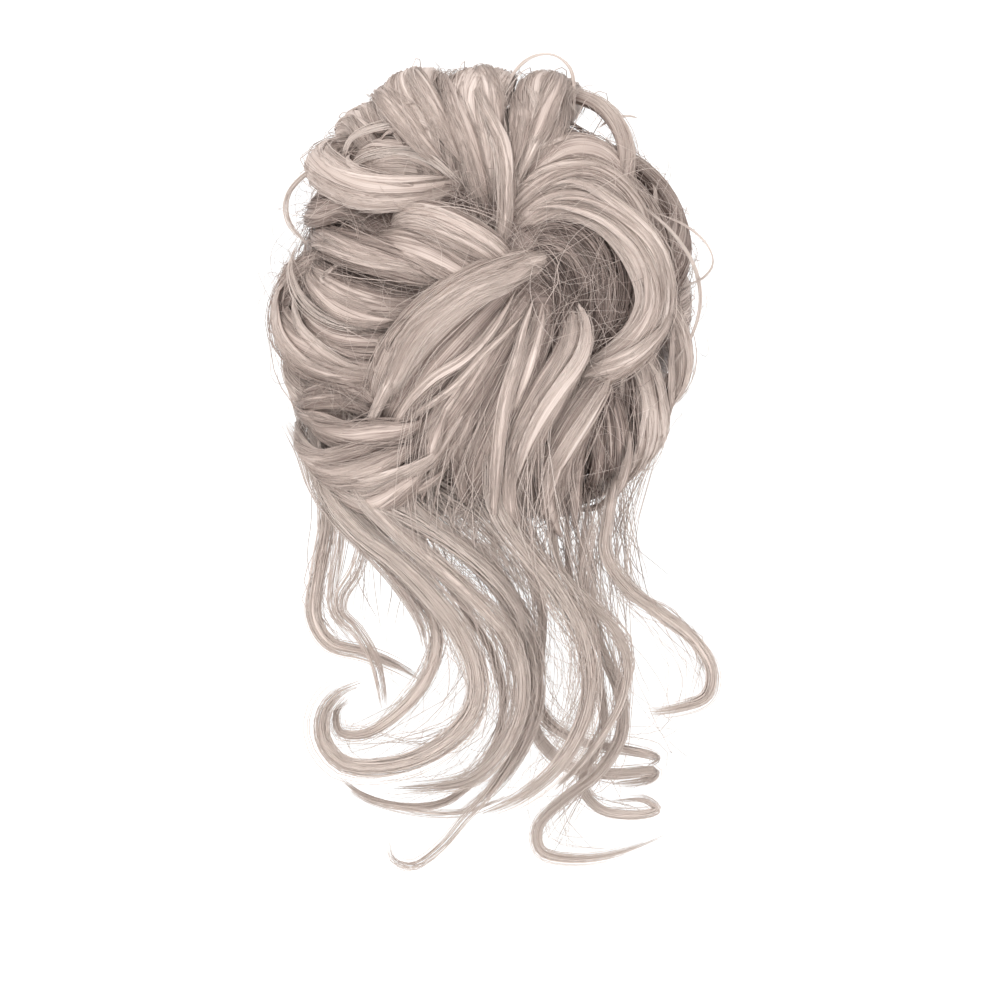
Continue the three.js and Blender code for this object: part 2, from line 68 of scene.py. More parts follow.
# Fineness of the hair
STRAND_RADIUS = 0.15 * MM
FINE_RADIUS = 0.11 * MM
WISP_RADIUS = 0.08 * MM
CURL_RADIUS = 1.6 * WISP_RADIUS
BRIDGE_RADIUS = 0.85 * STRAND_RADIUS
BODY_SHARE = 0.93  # a lock's combed form, within the strands that lie on it
LOCK_STRANDS = 58  # on a lock of full width
LOCK_STRAND_STEPS = 15
LOCK_RINGS = 32
LOCK_SIDES = 26
FINE_LOCK_STRANDS = 8  # for each mm of width, raised to 0.75
FINE_LOCK_RINGS = 24
FINE_LOCK_SIDES = 10
FINE_LOCK_FLATNESS = 0.42
LAID_LIMIT = 1.12  # the farthest out that a fine lock is laid, as a share
TENDRIL_STRANDS = 50
TENDRIL_STRAND_STEPS = 36
TENDRIL_RINGS = 80
TENDRIL_SIDES = 16
# Painted shade: a tendril's body is darker than the strands round it.
TENDRIL_TONE, TENDRIL_BODY_TONE = 0.93, 0.82
TONE_ROWS = 16  # rows of the strands' part of the map, each with a tone of its own
PLAIN_TONE = 0.54
PLAIN_SPREAD = 0.09  # of the strands' tones
LOOSE_SPREAD = 0.12  # of the tones of loose hair
# Painted shade: a body lies under its strands and is made darker than them.
BODY_SHADE = 0.04  # how much darker a body is than the strands on it
STRAND_PART = 0.3  # the strands' share of the map's height
BODY_START = STRAND_PART + 0.02  # where the bodies' part of the map starts
BODY_PART = 0.97 - STRAND_PART  # the bodies' share of its height
ENDS_PLACE = 0.31  # where the bodies' ends lie on it
MAP_ROUND = 60 * MM  # the way round a body that fills the rest of the map
PLAITS = (2 * math.pi * 68, 2 * math.pi * 5)  # of the elastic, along it and round it

# The band and the inner mass
BAND_STEPS, BAND_SIDES, BAND_GATHERS = 160, 14, 40
KNOT = (0.1, 0.22)  # where the locks meet, in the routes' shares
CORE_STRANDS = 420
CORE_STRAND_STEPS = 14
# Painted shade: the strands on the inner mass are darker, as the mass lies in shade under the locks.
CORE_TONE, CORE_SPREAD = 0.4, 0.13
CORE_GRAIN = 2.6 * MM
HEAD_CLEARANCE = 0.6 * MM
MOUTH_MARGIN, MOUTH_DEPTH = 5 * MM, 20 * MM  # kept free of hair round the band

# Strands, steps and tones of the loose hair
FINE_LOCK_STEPS = 10
END_HAIRS, END_HAIR_STEPS, END_ON_LOCK = 9, 11, 5
EDGE_HAIRS, EDGE_HAIR_STEPS = 14, 8
VEIL_STEPS = 12
WEB_STEPS, WEB_TONE = 10, 0.58
HALO_HAIRS, HALO_STEPS, HALO_TONE = 330, 9, 0.66
KNOT_WISP_STEPS, KNOT_WISP_FLATNESS = 20, 0.6
FALL_WISP_STEPS = 24
WISP_TONE, WISP_SPREAD = 0.82, 0.1
CROSS_HAIRS, CROSS_STEPS, CROSS_TONE = 220, 16, 0.78
CROSS_SWAY = 5 * MM
BRIDGE_STEPS, BRIDGE_TONE = 18, 0.74
CURTAIN_HAIRS, CURTAIN_STEPS, CURTAIN_TONE = 190, 9, 0.55

# The room: a round pale bowl with its floor below the fall, in metres
CENTRE_POINT = Vector((0, -0.03, -0.03))
FLOOR_HEIGHT = -0.34
ROOM_FLAT = 2.0
ROOM_BEND = 1.6
ROOM_TOP = 3.6
ROOM_SIDES = 64
BEND_RINGS = 13
ROOM_GLOW = 0.34
SKY_STRENGTH = 0.36
LIGHTS = [  # name, place, watts and size
    ("key", (-0.8, -1.5, 1.0), 18.5, 0.9),
    ("fill", (1.3, -1.2, 0.4), 5.5, 1.2),
    ("low", (0.1, -1.5, -0.2), 3, 0.9),
    ("top", (0.0, 0.2, 1.6), 13, 1.0),
]
CAMERA_PLACE = (4.7 * MM, -45 * MM - 2.0, -56.6 * MM)
CAMERA_LENS, CAMERA_SENSOR = 200, 36  # in mm

# A lock's route runs over the knot as the viewer sees it, in shares of its half width and half
# height from its middle; past 1 it goes round to the far side. Width and thickness are shares of a
# lock's, crest is how far out its middle lies, as a share, and tone goes from dark 0 to pale 1.
# Some tones are painted shade: locks that lie deep under others or at the back, such as right_inner_fall
# and right_back_puff, are darker.
LOCK_COLUMNS = ("width", "thickness", "crest", "tone", "route")
LOCKS = {
    "top_drop": (0.5, 0.6, 0.98, 0.68, [
        (-0.1, 0.96), (0.0, 0.8), (0.07, 0.62), (0.09, 0.42), (0.06, 0.22),
    ]),
    "top_branch": (0.5, 0.6, 0.96, 0.66, [
        (0.26, 0.96), (0.22, 0.82), (0.17, 0.66), (0.12, 0.46),
    ]),
    "left_upper_loop": (1.05, 1.1, 0.985, 0.64, [
        (-0.1, 0.6), (-0.3, 0.5), (-0.5, 0.47), (-0.68, 0.54), (-0.75, 0.68), (-0.68, 0.8),
        (-0.52, 0.9),
    ]),
    "right_big_arc": (1.3, 0.9, 0.97, 0.64, [
        (0.12, 0.36), (0.34, 0.46), (0.54, 0.39), (0.7, 0.2), (0.76, 0.0), (0.7, -0.18), (0.55, -0.33),
        (0.38, -0.42),
    ]),
    "knot_band_upper": (1.0, 0.9, 0.96, 0.66, [
        (-0.5, 0.4), (-0.34, 0.38), (-0.18, 0.32), (0.0, 0.24), (0.14, 0.16),
    ]),
    "fan_left_edge": (1.3, 0.95, 0.96, 0.58, [
        (0.3, 0.22), (0.1, 0.14), (-0.12, 0.02), (-0.3, -0.13), (-0.42, -0.3), (-0.5, -0.48),
        (-0.56, -0.68),
    ]),
    "right_fan_middle": (0.9, 0.8, 0.95, 0.62, [
        (0.06, 0.4), (0.24, 0.54), (0.44, 0.58), (0.62, 0.49), (0.76, 0.33), (0.83, 0.14),
    ]),
    "ribbon_centre": (0.9, 0.8, 0.96, 0.56, [
        (0.42, 0.1), (0.44, -0.08), (0.39, -0.24), (0.28, -0.4), (0.19, -0.56), (0.14, -0.74),
        (0.2, -0.94), (0.28, -1.1), (0.34, -1.3),
    ]),
    "right_low_sweep": (1.1, 0.85, 0.95, 0.5, [
        (0.7, -0.22), (0.56, -0.38), (0.43, -0.53), (0.34, -0.68), (0.32, -0.84), (0.38, -1.02),
        (0.44, -1.18), (0.48, -1.34),
    ]),
    "crown_right_arc": (0.6, 0.55, 1.02, 0.54, [
        (0.06, 0.96), (0.3, 0.94), (0.46, 0.86), (0.58, 0.74), (0.65, 0.6), (0.67, 0.46),
    ]),
    "lower_left_band": (1.0, 0.8, 0.95, 0.54, [
        (-0.94, -0.42), (-0.8, -0.55), (-0.62, -0.66), (-0.42, -0.7), (-0.22, -0.66), (-0.06, -0.54),
    ]),
    "right_bottom_cup": (1.1, 0.8, 0.95, 0.6, [
        (0.76, -0.12), (0.79, -0.3), (0.79, -0.48), (0.75, -0.64), (0.66, -0.78), (0.54, -0.9),
        (0.46, -1.04), (0.38, -1.18),
    ]),
    "left_middle_sweep": (0.95, 0.85, 0.94, 0.46, [
        (-0.12, 0.07), (-0.34, 0.14), (-0.54, 0.2), (-0.74, 0.27), (-0.92, 0.36),
    ]),
    "fan_left_inner": (1.15, 0.9, 0.93, 0.42, [
        (0.22, 0.12), (0.06, 0.0), (-0.1, -0.15), (-0.24, -0.3), (-0.36, -0.46), (-0.46, -0.66),
        (-0.5, -0.84), (-0.46, -1.02),
    ]),
    "left_outer_curl": (1.2, 0.85, 0.95, 0.5, [
        (-0.84, 0.26), (-0.96, 0.12), (-0.98, -0.04), (-0.9, -0.18), (-0.74, -0.28), (-0.56, -0.34),
        (-0.38, -0.36),
    ]),
    "left_lower_sweep": (1.0, 0.85, 0.93, 0.5, [
        (-0.94, 0.2), (-0.8, 0.09), (-0.63, 0.0), (-0.45, -0.05), (-0.26, -0.02),
    ]),
    "crown_middle": (1.7, 1.1, 0.98, 0.66, [
        (0.03, 0.48), (-0.04, 0.7), (-0.04, 0.92), (-0.03, 1.14), (-0.02, 1.36),
    ]),
    "crown_left": (1.7, 1.3, 1.005, 0.62, [
        (-0.22, 0.54), (-0.28, 0.74), (-0.34, 0.92), (-0.4, 1.1), (-0.44, 1.3),
    ]),
    "crown_right": (1.5, 1.2, 0.985, 0.62, [
        (0.16, 0.58), (0.23, 0.76), (0.29, 0.92), (0.37, 1.08), (0.45, 1.26),
    ]),
    "right_outer_strand": (0.6, 0.7, 0.96, 0.54, [
        (0.82, 0.12), (0.89, -0.06), (0.91, -0.24), (0.89, -0.42), (0.8, -0.6),
    ]),
    "knot_band_lower": (1.0, 0.85, 0.93, 0.56, [
        (-0.6, 0.31), (-0.42, 0.26), (-0.26, 0.2), (-0.1, 0.12), (0.06, 0.06),
    ]),
    "right_fan_upper": (1.1, 0.9, 0.93, 0.5, [
        (0.1, 0.48), (0.22, 0.61), (0.38, 0.69), (0.54, 0.67), (0.68, 0.56), (0.78, 0.4),
    ]),
    "fan_middle": (1.15, 0.9, 0.94, 0.44, [
        (0.26, 0.08), (0.12, -0.1), (0.0, -0.28), (-0.12, -0.46), (-0.24, -0.64), (-0.32, -0.82),
        (-0.34, -0.98), (-0.3, -1.14), (-0.24, -1.3),
    ]),
    "crown_fold": (1.2, 0.85, 0.93, 0.6, [
        (-0.08, 0.58), (-0.26, 0.64), (-0.44, 0.68), (-0.6, 0.66), (-0.74, 0.58),
    ]),
    "fan_right": (1.15, 0.9, 0.93, 0.46, [
        (0.32, 0.04), (0.25, -0.16), (0.14, -0.36), (0.04, -0.56), (-0.04, -0.76), (-0.06, -0.96),
        (-0.02, -1.14), (0.03, -1.32),
    ]),
    "crown_corner": (1.5, 1.25, 1.0, 0.62, [
        (-0.5, 0.74), (-0.6, 0.86), (-0.68, 0.98), (-0.74, 1.14),
    ]),
    "left_fold": (1.1, 0.8, 0.91, 0.42, [
        (-0.56, 0.44), (-0.68, 0.47), (-0.78, 0.44), (-0.86, 0.46), (-0.94, 0.58),
    ]),
    "left_under_sweep": (0.95, 0.8, 0.92, 0.4, [
        (-0.98, 0.04), (-0.86, -0.08), (-0.7, -0.17), (-0.52, -0.2), (-0.34, -0.18),
    ]),
    "right_inner_fall": (1.2, 0.8, 0.92, 0.32, [
        (0.56, -0.3), (0.6, -0.5), (0.6, -0.68), (0.54, -0.84), (0.5, -1.0), (0.48, -1.16),
        (0.46, -1.32),
    ]),
    "lower_band": (1.0, 0.8, 0.93, 0.54, [
        (-0.9, -0.6), (-0.72, -0.72), (-0.54, -0.82), (-0.38, -0.94), (-0.24, -1.08), (-0.14, -1.24),
    ]),
    "right_back_puff": (1.5, 0.9, 0.92, 0.38, [
        (0.56, 0.88), (0.72, 0.74), (0.86, 0.58), (0.94, 0.4), (0.95, 0.2), (0.9, 0.02),
    ]),
    "left_low_corner": (1.15, 0.8, 0.93, 0.54, [
        (-1.02, -0.08), (-0.97, -0.26), (-0.88, -0.42), (-0.74, -0.52), (-0.58, -0.56),
    ]),
}

# A tendril's station is (across, down, back): across in shares of the knot's half width, down in
# shares of the fall below the knot, and back in shares of the fall's depth. Width is a share of a
# tendril's, and tip is the share of it that is left at the end.
TENDRIL_COLUMNS = ("width", "tip", "route")
TENDRILS = {
    "tendril_main": (1.35, 0.5, [
        (0.06, -0.37, -0.15), (0.03, -0.24, -0.28), (0.04, -0.11, -0.14), (0.11, -0.015, -0.06),
        (0.23, 0.085, 0.0), (0.34, 0.18, 0.0), (0.42, 0.285, 0.0), (0.458, 0.4, 0.03),
        (0.45, 0.5, 0.03), (0.39, 0.61, 0.0), (0.29, 0.7, 0.0), (0.14, 0.78, 0.05), (-0.02, 0.83, 0.2),
    ]),
    "tendril_hook_wide": (1.7, 0.4, [
        (-0.72, -0.38, 0.36), (-0.75, -0.23, 0.3), (-0.69, -0.11, 0.22), (-0.56, -0.01, 0.15),
        (-0.4, 0.07, 0.1), (-0.25, 0.17, 0.08), (-0.12, 0.285, 0.1), (-0.05, 0.4, 0.1),
        (-0.05, 0.5, 0.1), (-0.14, 0.59, 0.1), (-0.3, 0.66, 0.15), (-0.48, 0.69, 0.2),
        (-0.64, 0.68, 0.3), (-0.73, 0.61, 0.42), (-0.73, 0.53, 0.5), (-0.66, 0.47, 0.52),
        (-0.56, 0.44, 0.5),
    ]),
    "tendril_far_right": (0.95, 0.5, [
        (0.6, -0.25, 0.6), (0.54, -0.06, 0.3), (0.53, 0.05, 0.25), (0.62, 0.15, 0.25),
        (0.77, 0.23, 0.25), (0.92, 0.31, 0.3), (1.0, 0.4, 0.35), (0.98, 0.48, 0.45),
        (0.86, 0.515, 0.5), (0.7, 0.53, 0.5),
    ]),
    "tendril_right_bow": (0.75, 0.5, [
        (0.3, -0.2, 0.5), (0.32, 0.08, 0.25), (0.45, 0.19, 0.2), (0.57, 0.28, 0.2), (0.625, 0.38, 0.2),
        (0.6, 0.49, 0.2), (0.52, 0.59, 0.2), (0.42, 0.68, 0.2), (0.3, 0.76, 0.25),
    ]),
    "tendril_hook_small": (1.0, 0.4, [
        (-0.56, -0.26, 0.5), (-0.62, -0.12, 0.38), (-0.54, 0.01, 0.31), (-0.42, 0.09, 0.28),
        (-0.31, 0.17, 0.28), (-0.235, 0.26, 0.3), (-0.23, 0.35, 0.3), (-0.28, 0.44, 0.3),
        (-0.38, 0.52, 0.3), (-0.53, 0.59, 0.35), (-0.65, 0.59, 0.45), (-0.67, 0.53, 0.64),
        (-0.62, 0.49, 0.72),
    ]),
    "tendril_centre_left": (1.4, 0.3, [
        (-0.6, -0.4, 0.2), (-0.62, -0.26, 0.08), (-0.56, -0.14, 0.0), (-0.45, -0.05, -0.02),
        (-0.32, 0.03, 0.0), (-0.15, 0.13, 0.05), (-0.01, 0.22, 0.12), (0.1, 0.31, 0.22),
        (0.15, 0.42, 0.28), (0.14, 0.53, 0.3), (0.06, 0.65, 0.3), (-0.07, 0.73, 0.35),
        (-0.24, 0.755, 0.45), (-0.42, 0.76, 0.55),
    ]),
    "tendril_low_curl": (0.95, 0.3, [
        (0.48, -0.2, 0.75), (0.42, 0.06, 0.45), (0.45, 0.22, 0.45), (0.53, 0.36, 0.45),
        (0.6, 0.48, 0.45), (0.6, 0.6, 0.45), (0.5, 0.71, 0.45), (0.35, 0.79, 0.45), (0.23, 0.87, 0.45),
        (0.24, 0.945, 0.5), (0.38, 0.97, 0.55), (0.58, 0.955, 0.6), (0.8, 0.9, 0.7),
    ]),
    "tendril_centre": (1.4, 0.35, [
        (-0.42, -0.38, 0.05), (-0.44, -0.22, -0.05), (-0.34, -0.1, -0.05), (-0.2, -0.02, 0.05),
        (-0.06, 0.06, 0.16), (0.06, 0.15, 0.3), (0.16, 0.26, 0.42), (0.22, 0.39, 0.5),
        (0.21, 0.53, 0.5), (0.14, 0.65, 0.5), (0.02, 0.76, 0.5), (-0.14, 0.84, 0.5),
    ]),
    "tendril_ear": (1.15, 0.45, [
        (-0.8, -0.44, 0.68), (-0.76, -0.3, 0.56), (-0.72, -0.16, 0.5), (-0.715, -0.04, 0.5),
        (-0.75, 0.1, 0.53), (-0.77, 0.24, 0.55), (-0.7, 0.32, 0.5), (-0.55, 0.35, 0.5),
        (-0.42, 0.385, 0.5), (-0.3, 0.43, 0.55),
    ]),
    "tendril_back_sweep": (0.9, 0.5, [
        (0.14, -0.2, 0.85), (0.18, 0.05, 0.75), (0.24, 0.22, 0.75), (0.23, 0.38, 0.75),
        (0.22, 0.5, 0.75), (0.3, 0.58, 0.75), (0.45, 0.63, 0.75), (0.62, 0.645, 0.7),
        (0.76, 0.67, 0.75), (0.72, 0.695, 0.88),
    ]),
    "tendril_back_curl": (0.85, 0.5, [
        (0.02, -0.2, 0.95), (0.04, 0.1, 0.9), (0.14, 0.3, 0.9), (0.17, 0.47, 0.9), (0.24, 0.62, 0.9),
        (0.38, 0.7, 0.9), (0.56, 0.72, 0.85), (0.75, 0.715, 0.9), (0.72, 0.74, 1.0),
        (0.56, 0.755, 1.0),
    ]),
    "tendril_low_loop": (0.7, 0.6, [
        (0.36, -0.2, 0.9), (0.36, 0.08, 0.65), (0.4, 0.26, 0.65), (0.5, 0.44, 0.65), (0.52, 0.6, 0.65),
        (0.42, 0.74, 0.65), (0.5, 0.82, 0.62), (0.65, 0.84, 0.62), (0.76, 0.825, 0.7),
        (0.7, 0.795, 0.8), (0.56, 0.8, 0.85),
    ]),
    "tendril_under_hook": (0.6, 0.5, [
        (-0.36, -0.2, 0.9), (-0.26, 0.05, 0.85), (-0.1, 0.22, 0.85), (0.04, 0.38, 0.85),
        (0.07, 0.55, 0.85), (-0.02, 0.7, 0.85), (-0.18, 0.8, 0.8), (-0.38, 0.815, 0.75),
        (-0.56, 0.78, 0.75), (-0.66, 0.73, 0.8),
    ]),
}

# The far side's locks: angle round the outline, 0 at the right and 90 at the top, the turn on the
# way round, both in degrees, and where the lock starts and ends in the routes' shares.
FAR_COLUMNS = ("angle", "sweep", "start", "end", "crest")
FAR_LOCKS = {
    "far_lock_1": (-44, 16, 0.9, 1.4, 0.91),
    "far_lock_2": (-10, 18, 0.86, 1.6, 0.89),
    "far_lock_3": (26, 16, 0.96, 1.8, 0.9),
    "far_lock_4": (62, 12, 1.1, 1.9, 0.95),
    "far_lock_5": (98, 14, 1.2, 1.9, 0.97),
    "far_lock_6": (136, 12, 1.05, 1.8, 0.97),
    "far_lock_7": (172, 16, 0.9, 1.6, 0.93),
    "far_lock_8": (208, 14, 0.9, 1.4, 0.93),
}

# What makes some locks look unlike the rest: how far the strands' tones spread, the share of strands
# that stray, how deep they lie, and the waves along the lock with their height and sideways swing
# in mm.
CROWN = {"spread": 0.05, "loose": 0.05, "deep": 0.94}
LOCK_LOOKS = {
    "crown_left": {**CROWN, "waves": 2.4, "high_mm": 0.8, "swing_mm": 2.0},
    "crown_middle": {**CROWN, "waves": 2.4, "high_mm": 0.8, "swing_mm": 2.0},
    "crown_right": {**CROWN, "waves": 2.2, "high_mm": 0.8, "swing_mm": 1.8},
    "crown_corner": {**CROWN, "waves": 2.0, "high_mm": 0.8, "swing_mm": 2.0},
    "crown_fold": {"waves": 2.0, "high_mm": 0.5, "swing_mm": 1.6},
}

# Sizes worked out from those above
SIZE = np.array([HALF_WIDTH, HALF_DEPTH, HALF_HEIGHT])
SEAT_AXIS = np.array([0, -math.cos(SEAT_ELEVATION), math.sin(SEAT_ELEVATION)])
CENTRE = SEAT_AXIS * SEAT_TO_CENTRE
HEAD_CENTRE = -SEAT_AXIS * HEAD_RADIUS
FALL_TOP = -HALF_HEIGHT
FALL_FRONT = -FALL_FORWARD - FALL_DEPTH
VIEWER = np.array([0.0, -1.0, 0.0])


def spline(points, count):
    """Count points, evenly by station, along a smooth curve through the given points."""
    p = np.asarray(points, float)
    around = np.vstack([2 * p[0] - p[1], p, 2 * p[-1] - p[-2]])
    place = np.linspace(0, len(p) - 1, count)
    i = np.minimum(place.astype(int), len(p) - 2)
    w = (place - i)[:, None]
    p0, p1, p2, p3 = (around[i + k] for k in range(4))
    spans = ((p0, p1), (p1, p2), (p2, p3))
    d0, d1, d2 = (np.sqrt(np.linalg.norm(b - a, axis=1))[:, None] for a, b in spans)
    m1 = ((p1 - p0) / d0 - (p2 - p0) / (d0 + d1) + (p2 - p1) / d1) * d1
    m2 = ((p2 - p1) / d1 - (p3 - p1) / (d1 + d2) + (p3 - p2) / d2) * d1
    return (
        (2 * w**3 - 3 * w**2 + 1) * p1 + (w**3 - 2 * w**2 + w) * m1
        + (3 * w**2 - 2 * w**3) * p2 + (w**3 - w**2) * m2
    )


def unit(v):
    return v / np.maximum(np.linalg.norm(v, axis=-1, keepdims=True), 1e-12)


def way_to(across, up):
    """The way from the knot's middle to a place in the routes' shares."""
    reach = np.hypot(across, up)
    inside = reach < 1
    turn = np.where(inside, 0, (reach - 1) * math.pi / 2)
    level = np.where(inside, 1, np.cos(turn) / np.maximum(reach, 1e-9))
    back = np.where(inside, -np.sqrt(np.maximum(1 - reach**2, 0)), np.sin(turn))
    return np.stack([across * level, back, up * level], axis=-1)


def frames_along(middle, facing, half_width, half_thickness):
    """A line's places, sideways and outward ways and half sizes, one row a ring."""
    along = unit(np.gradient(middle, axis=0))
    side = unit(np.cross(facing, along))
    return {
        "middle": middle, "side": side, "out": np.cross(along, side), "along": along,
        "width": half_width, "thickness": half_thickness,
    }


def lock_frames(route, width, thickness, crest, rings, waves=0, high_mm=0, swing_mm=0):
    """The frames of a lock that rises out of the inner mass, lies over it and goes back in."""
    stations = way_to(*np.array(route, float).T)
    way = unit(spline(stations, rings))
    t = np.linspace(0, 1, rings)
    rise = np.sin(np.pi * t) ** 0.6
    full = LOCK_END_SHARE + (1 - LOCK_END_SHARE) * rise
    share = LOCK_ROOT_SHARE + (crest - LOCK_ROOT_SHARE) * rise
    middle = CENTRE + way * SIZE * share[:, None]
    facing = unit(way / SIZE)
    turn = 2 * np.pi * waves * t
    side = unit(np.cross(facing, np.gradient(middle, axis=0)))
    middle = middle + facing * (high_mm * MM * rise * np.sin(turn))[:, None]
    middle = middle + side * (swing_mm * MM * rise * np.cos(turn))[:, None]
    half = full / 2
    return frames_along(middle, facing, width * LOCK_WIDTH * half, thickness * LOCK_THICKNESS * half)


def far_route(row):
    t = np.array([0, 0.33, 0.67, 1])
    turn = np.radians(row["angle"] + row["sweep"] * np.sin(t * math.pi / 2))
    reach = row["start"] + (row["end"] - row["start"]) * t
    return list(zip(reach * np.cos(turn), reach * np.sin(turn)))


def fall_points(route):
    """A tendril's stations as places."""
    across, down, back = np.array(route, float).T
    places = [across * HALF_WIDTH, FALL_FRONT + back * FALL_DEPTH, FALL_TOP - down * FALL_LENGTH]
    return CENTRE + np.stack(places, axis=-1)


def tendril_frames(route, width, tip, rings):
    middle = spline(fall_points(route), rings)
    full = 1 - (1 - tip) * np.linspace(0, 1, rings) ** 3
    facing = np.tile(VIEWER, (rings, 1))
    return frames_along(
        middle, facing, width * TENDRIL_WIDTH / 2 * full, min(width, 1) * TENDRIL_THICKNESS / 2 * full
    )


def map_corners(u0, u1, v0, v1):
    """The four corners of each face on the map."""
    return np.stack([np.stack(spot, -1) for spot in ((u0, v0), (u0, v1), (u1, v1), (u1, v0))], -2)


class Hair:
    """Collects combed bodies and strands, and joins them into one mesh object."""

    def __init__(self, name):
        self.name = name
        self.points, self.tones = [], []
        self.faces, self.maps = {3: [], 4: []}, {3: [], 4: []}
        self.count = 0

    def add(self, points, tones, corners, places):
        """Corners index the given points, n to a face, and places are their spots on the map."""
        n = corners.shape[-1]
        self.faces[n].append(corners.reshape(-1, n) + self.count)
        self.maps[n].append(places.reshape(-1, n, 2))
        if points is not None:
            self.points.append(points.reshape(-1, 3))
            self.tones.append(np.broadcast_to(tones, points.shape[:-1]).reshape(-1))

    def body(self, frames, sides, rng, tone, groove_mm):
        """A combed form along the frames: its grooves run lengthwise and change slowly."""
        rings = len(frames["middle"])
        turn = np.arange(sides) * 2 * np.pi / sides - np.pi / 2
        ways = (np.cos(turn), np.sin(turn))
        t = np.linspace(0, 1, rings)[:, None]
        groove = np.zeros((rings, sides))
        for step in range(4):
            profile = rng.normal(size=sides)
            profile = profile - (np.roll(profile, 1) + np.roll(profile, -1)) / 3
            groove += profile * np.clip(1 - abs(t * 3 - step), 0, 1)
        fade = np.sin(np.pi * np.clip(t, 0.02, 0.98)) ** 0.5
        grow = np.clip(groove, -1.6, 1.6) * groove_mm * MM * fade
        width = frames["width"][:, None] + grow
        thickness = frames["thickness"][:, None] + grow
        points = (
            frames["middle"][:, None]
            + frames["side"][:, None] * (width * ways[0])[..., None]
            + frames["out"][:, None] * (thickness * ways[1])[..., None]
        )
        # Painted shade: a body is paler on its ridges and darker in its grooves, towards its ends where it
        # sinks into the mass, and on its under side that faces the mass.
        tones = tone + 0.1 * groove / 1.6 - 0.22 * (1 - fade) - 0.12 * (ways[1] < -0.3)
        ring, k = np.meshgrid(np.arange(rings - 1), np.arange(sides), indexing="ij")
        after = (k + 1) % sides
        here, there = ring * sides, (ring + 1) * sides
        corners = np.stack([here + k, here + after, there + after, there + k], -1)
        full_round = np.pi * (frames["width"].max() + frames["thickness"].max())
        part = BODY_PART * min(1, full_round / MAP_ROUND)
        v0, v1 = (BODY_START + part * (k + d) / sides for d in (0, 1))
        u0, u1 = ring / (rings - 1), (ring + 1) / (rings - 1)
        places = map_corners(u0, u1, v0, v1)
        self.add(points, np.clip(tones, 0, 1), corners, places)
        self.close(points[0], points[-1], sides, rings)
        self.count += rings * sides + 2

    def close(self, first, last, sides, rings):
        """The two ends of a body, each a fan to the ring's own middle."""
        middles = np.stack([first.mean(0), last.mean(0)])
        k = np.arange(sides)
        after = (k + 1) % sides
        start, end = rings * sides, rings * sides + 1
        base = (rings - 1) * sides
        fans = np.concatenate([
            np.stack([np.full(sides, start), after, k], -1),
            np.stack([np.full(sides, end), base + k, base + after], -1),
        ])
        # Painted shade: the ends, sunk in the mass, get a dark tone.
        self.add(middles, 0.3, fans, np.full((2 * sides, 3, 2), ENDS_PLACE))

    def strands(self, lines, out, radius, rng, tone, spread=0.3, taper=0.3):
        """Closed three-sided tubes: lines is strands by steps by 3, and out their facing way."""
        strands, steps, _ = lines.shape
        along = unit(np.gradient(lines, axis=1))
        side = unit(np.cross(out, along))
        up = np.cross(along, side)
        t = np.linspace(0, 1, steps)
        ends = taper + (1 - taper) * np.minimum(1, np.minimum(t, 1 - t) * 8)
        thick = (radius * rng.uniform(0.7, 1.3, strands))[:, None] * ends
        turn = np.arange(3) * 2 * np.pi / 3 + np.pi / 2
        points = lines[:, :, None] + thick[..., None, None] * (
            side[:, :, None] * np.cos(turn)[:, None] + up[:, :, None] * np.sin(turn)[:, None]
        )
        row = np.clip((tone + spread * rng.normal(size=strands)) * TONE_ROWS, 0, TONE_ROWS - 1).astype(int)
        tones = ((row + 0.5) / TONE_ROWS)[:, None, None]
        s, j, k = np.meshgrid(np.arange(strands), np.arange(steps - 1), np.arange(3), indexing="ij")
        after = (k + 1) % 3
        base = (s * steps + j) * 3
        corners = np.stack([base + k, base + after, base + 3 + after, base + 3 + k], -1)
        v0, v1 = (STRAND_PART * (row[s] + 0.12 + 0.76 * (k + d) / 3) / TONE_ROWS for d in (0, 1))
        u0, u1 = j / (steps - 1), (j + 1) / (steps - 1)
        places = map_corners(u0, u1, v0, v1)
        self.add(points, tones, corners, places)
        first = np.arange(strands) * steps * 3
        last = first + (steps - 1) * 3
        caps = np.concatenate([
            np.stack([first, first + 2, first + 1], -1),
            np.stack([last, last + 1, last + 2], -1),
        ])
        middle = STRAND_PART * (np.tile(row, 2) + 0.5) / TONE_ROWS
        spot = np.stack([np.full(2 * strands, 0.5), middle], -1)
        self.add(None, None, caps, np.repeat(spot[:, None], 3, axis=1))
        self.count += strands * steps * 3

    def make(self, material):
        points = np.concatenate(self.points)
        quads, fans = np.concatenate(self.faces[4]), np.concatenate(self.faces[3])
        mesh = bpy.data.meshes.new(self.name)
        mesh.vertices.add(len(points))
        mesh.vertices.foreach_set("co", points.astype(np.float32).ravel())
        corners = np.concatenate([quads.ravel(), fans.ravel()])
        mesh.loops.add(len(corners))
        mesh.loops.foreach_set("vertex_index", corners.astype(np.int32))
        starts = np.concatenate([np.arange(len(quads)) * 4, len(quads) * 4 + np.arange(len(fans)) * 3])
        mesh.polygons.add(len(starts))
        mesh.polygons.foreach_set("loop_start", starts.astype(np.int32))
        mesh.update(calc_edges=True)
        places = np.concatenate([np.concatenate(self.maps[n]).reshape(-1, 2) for n in (4, 3)])
        mesh.uv_layers.new(name="OFBake").data.foreach_set("uv", places.astype(np.float32).ravel())
        tones = mesh.attributes.new("tone", "FLOAT", "POINT")
        tones.data.foreach_set("value", np.concatenate(self.tones).astype(np.float32))
        mesh.materials.append(material)
        piece = bpy.data.objects.new(self.name, mesh)
        bpy.context.scene.collection.objects.link(piece)
        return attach(piece, "root")


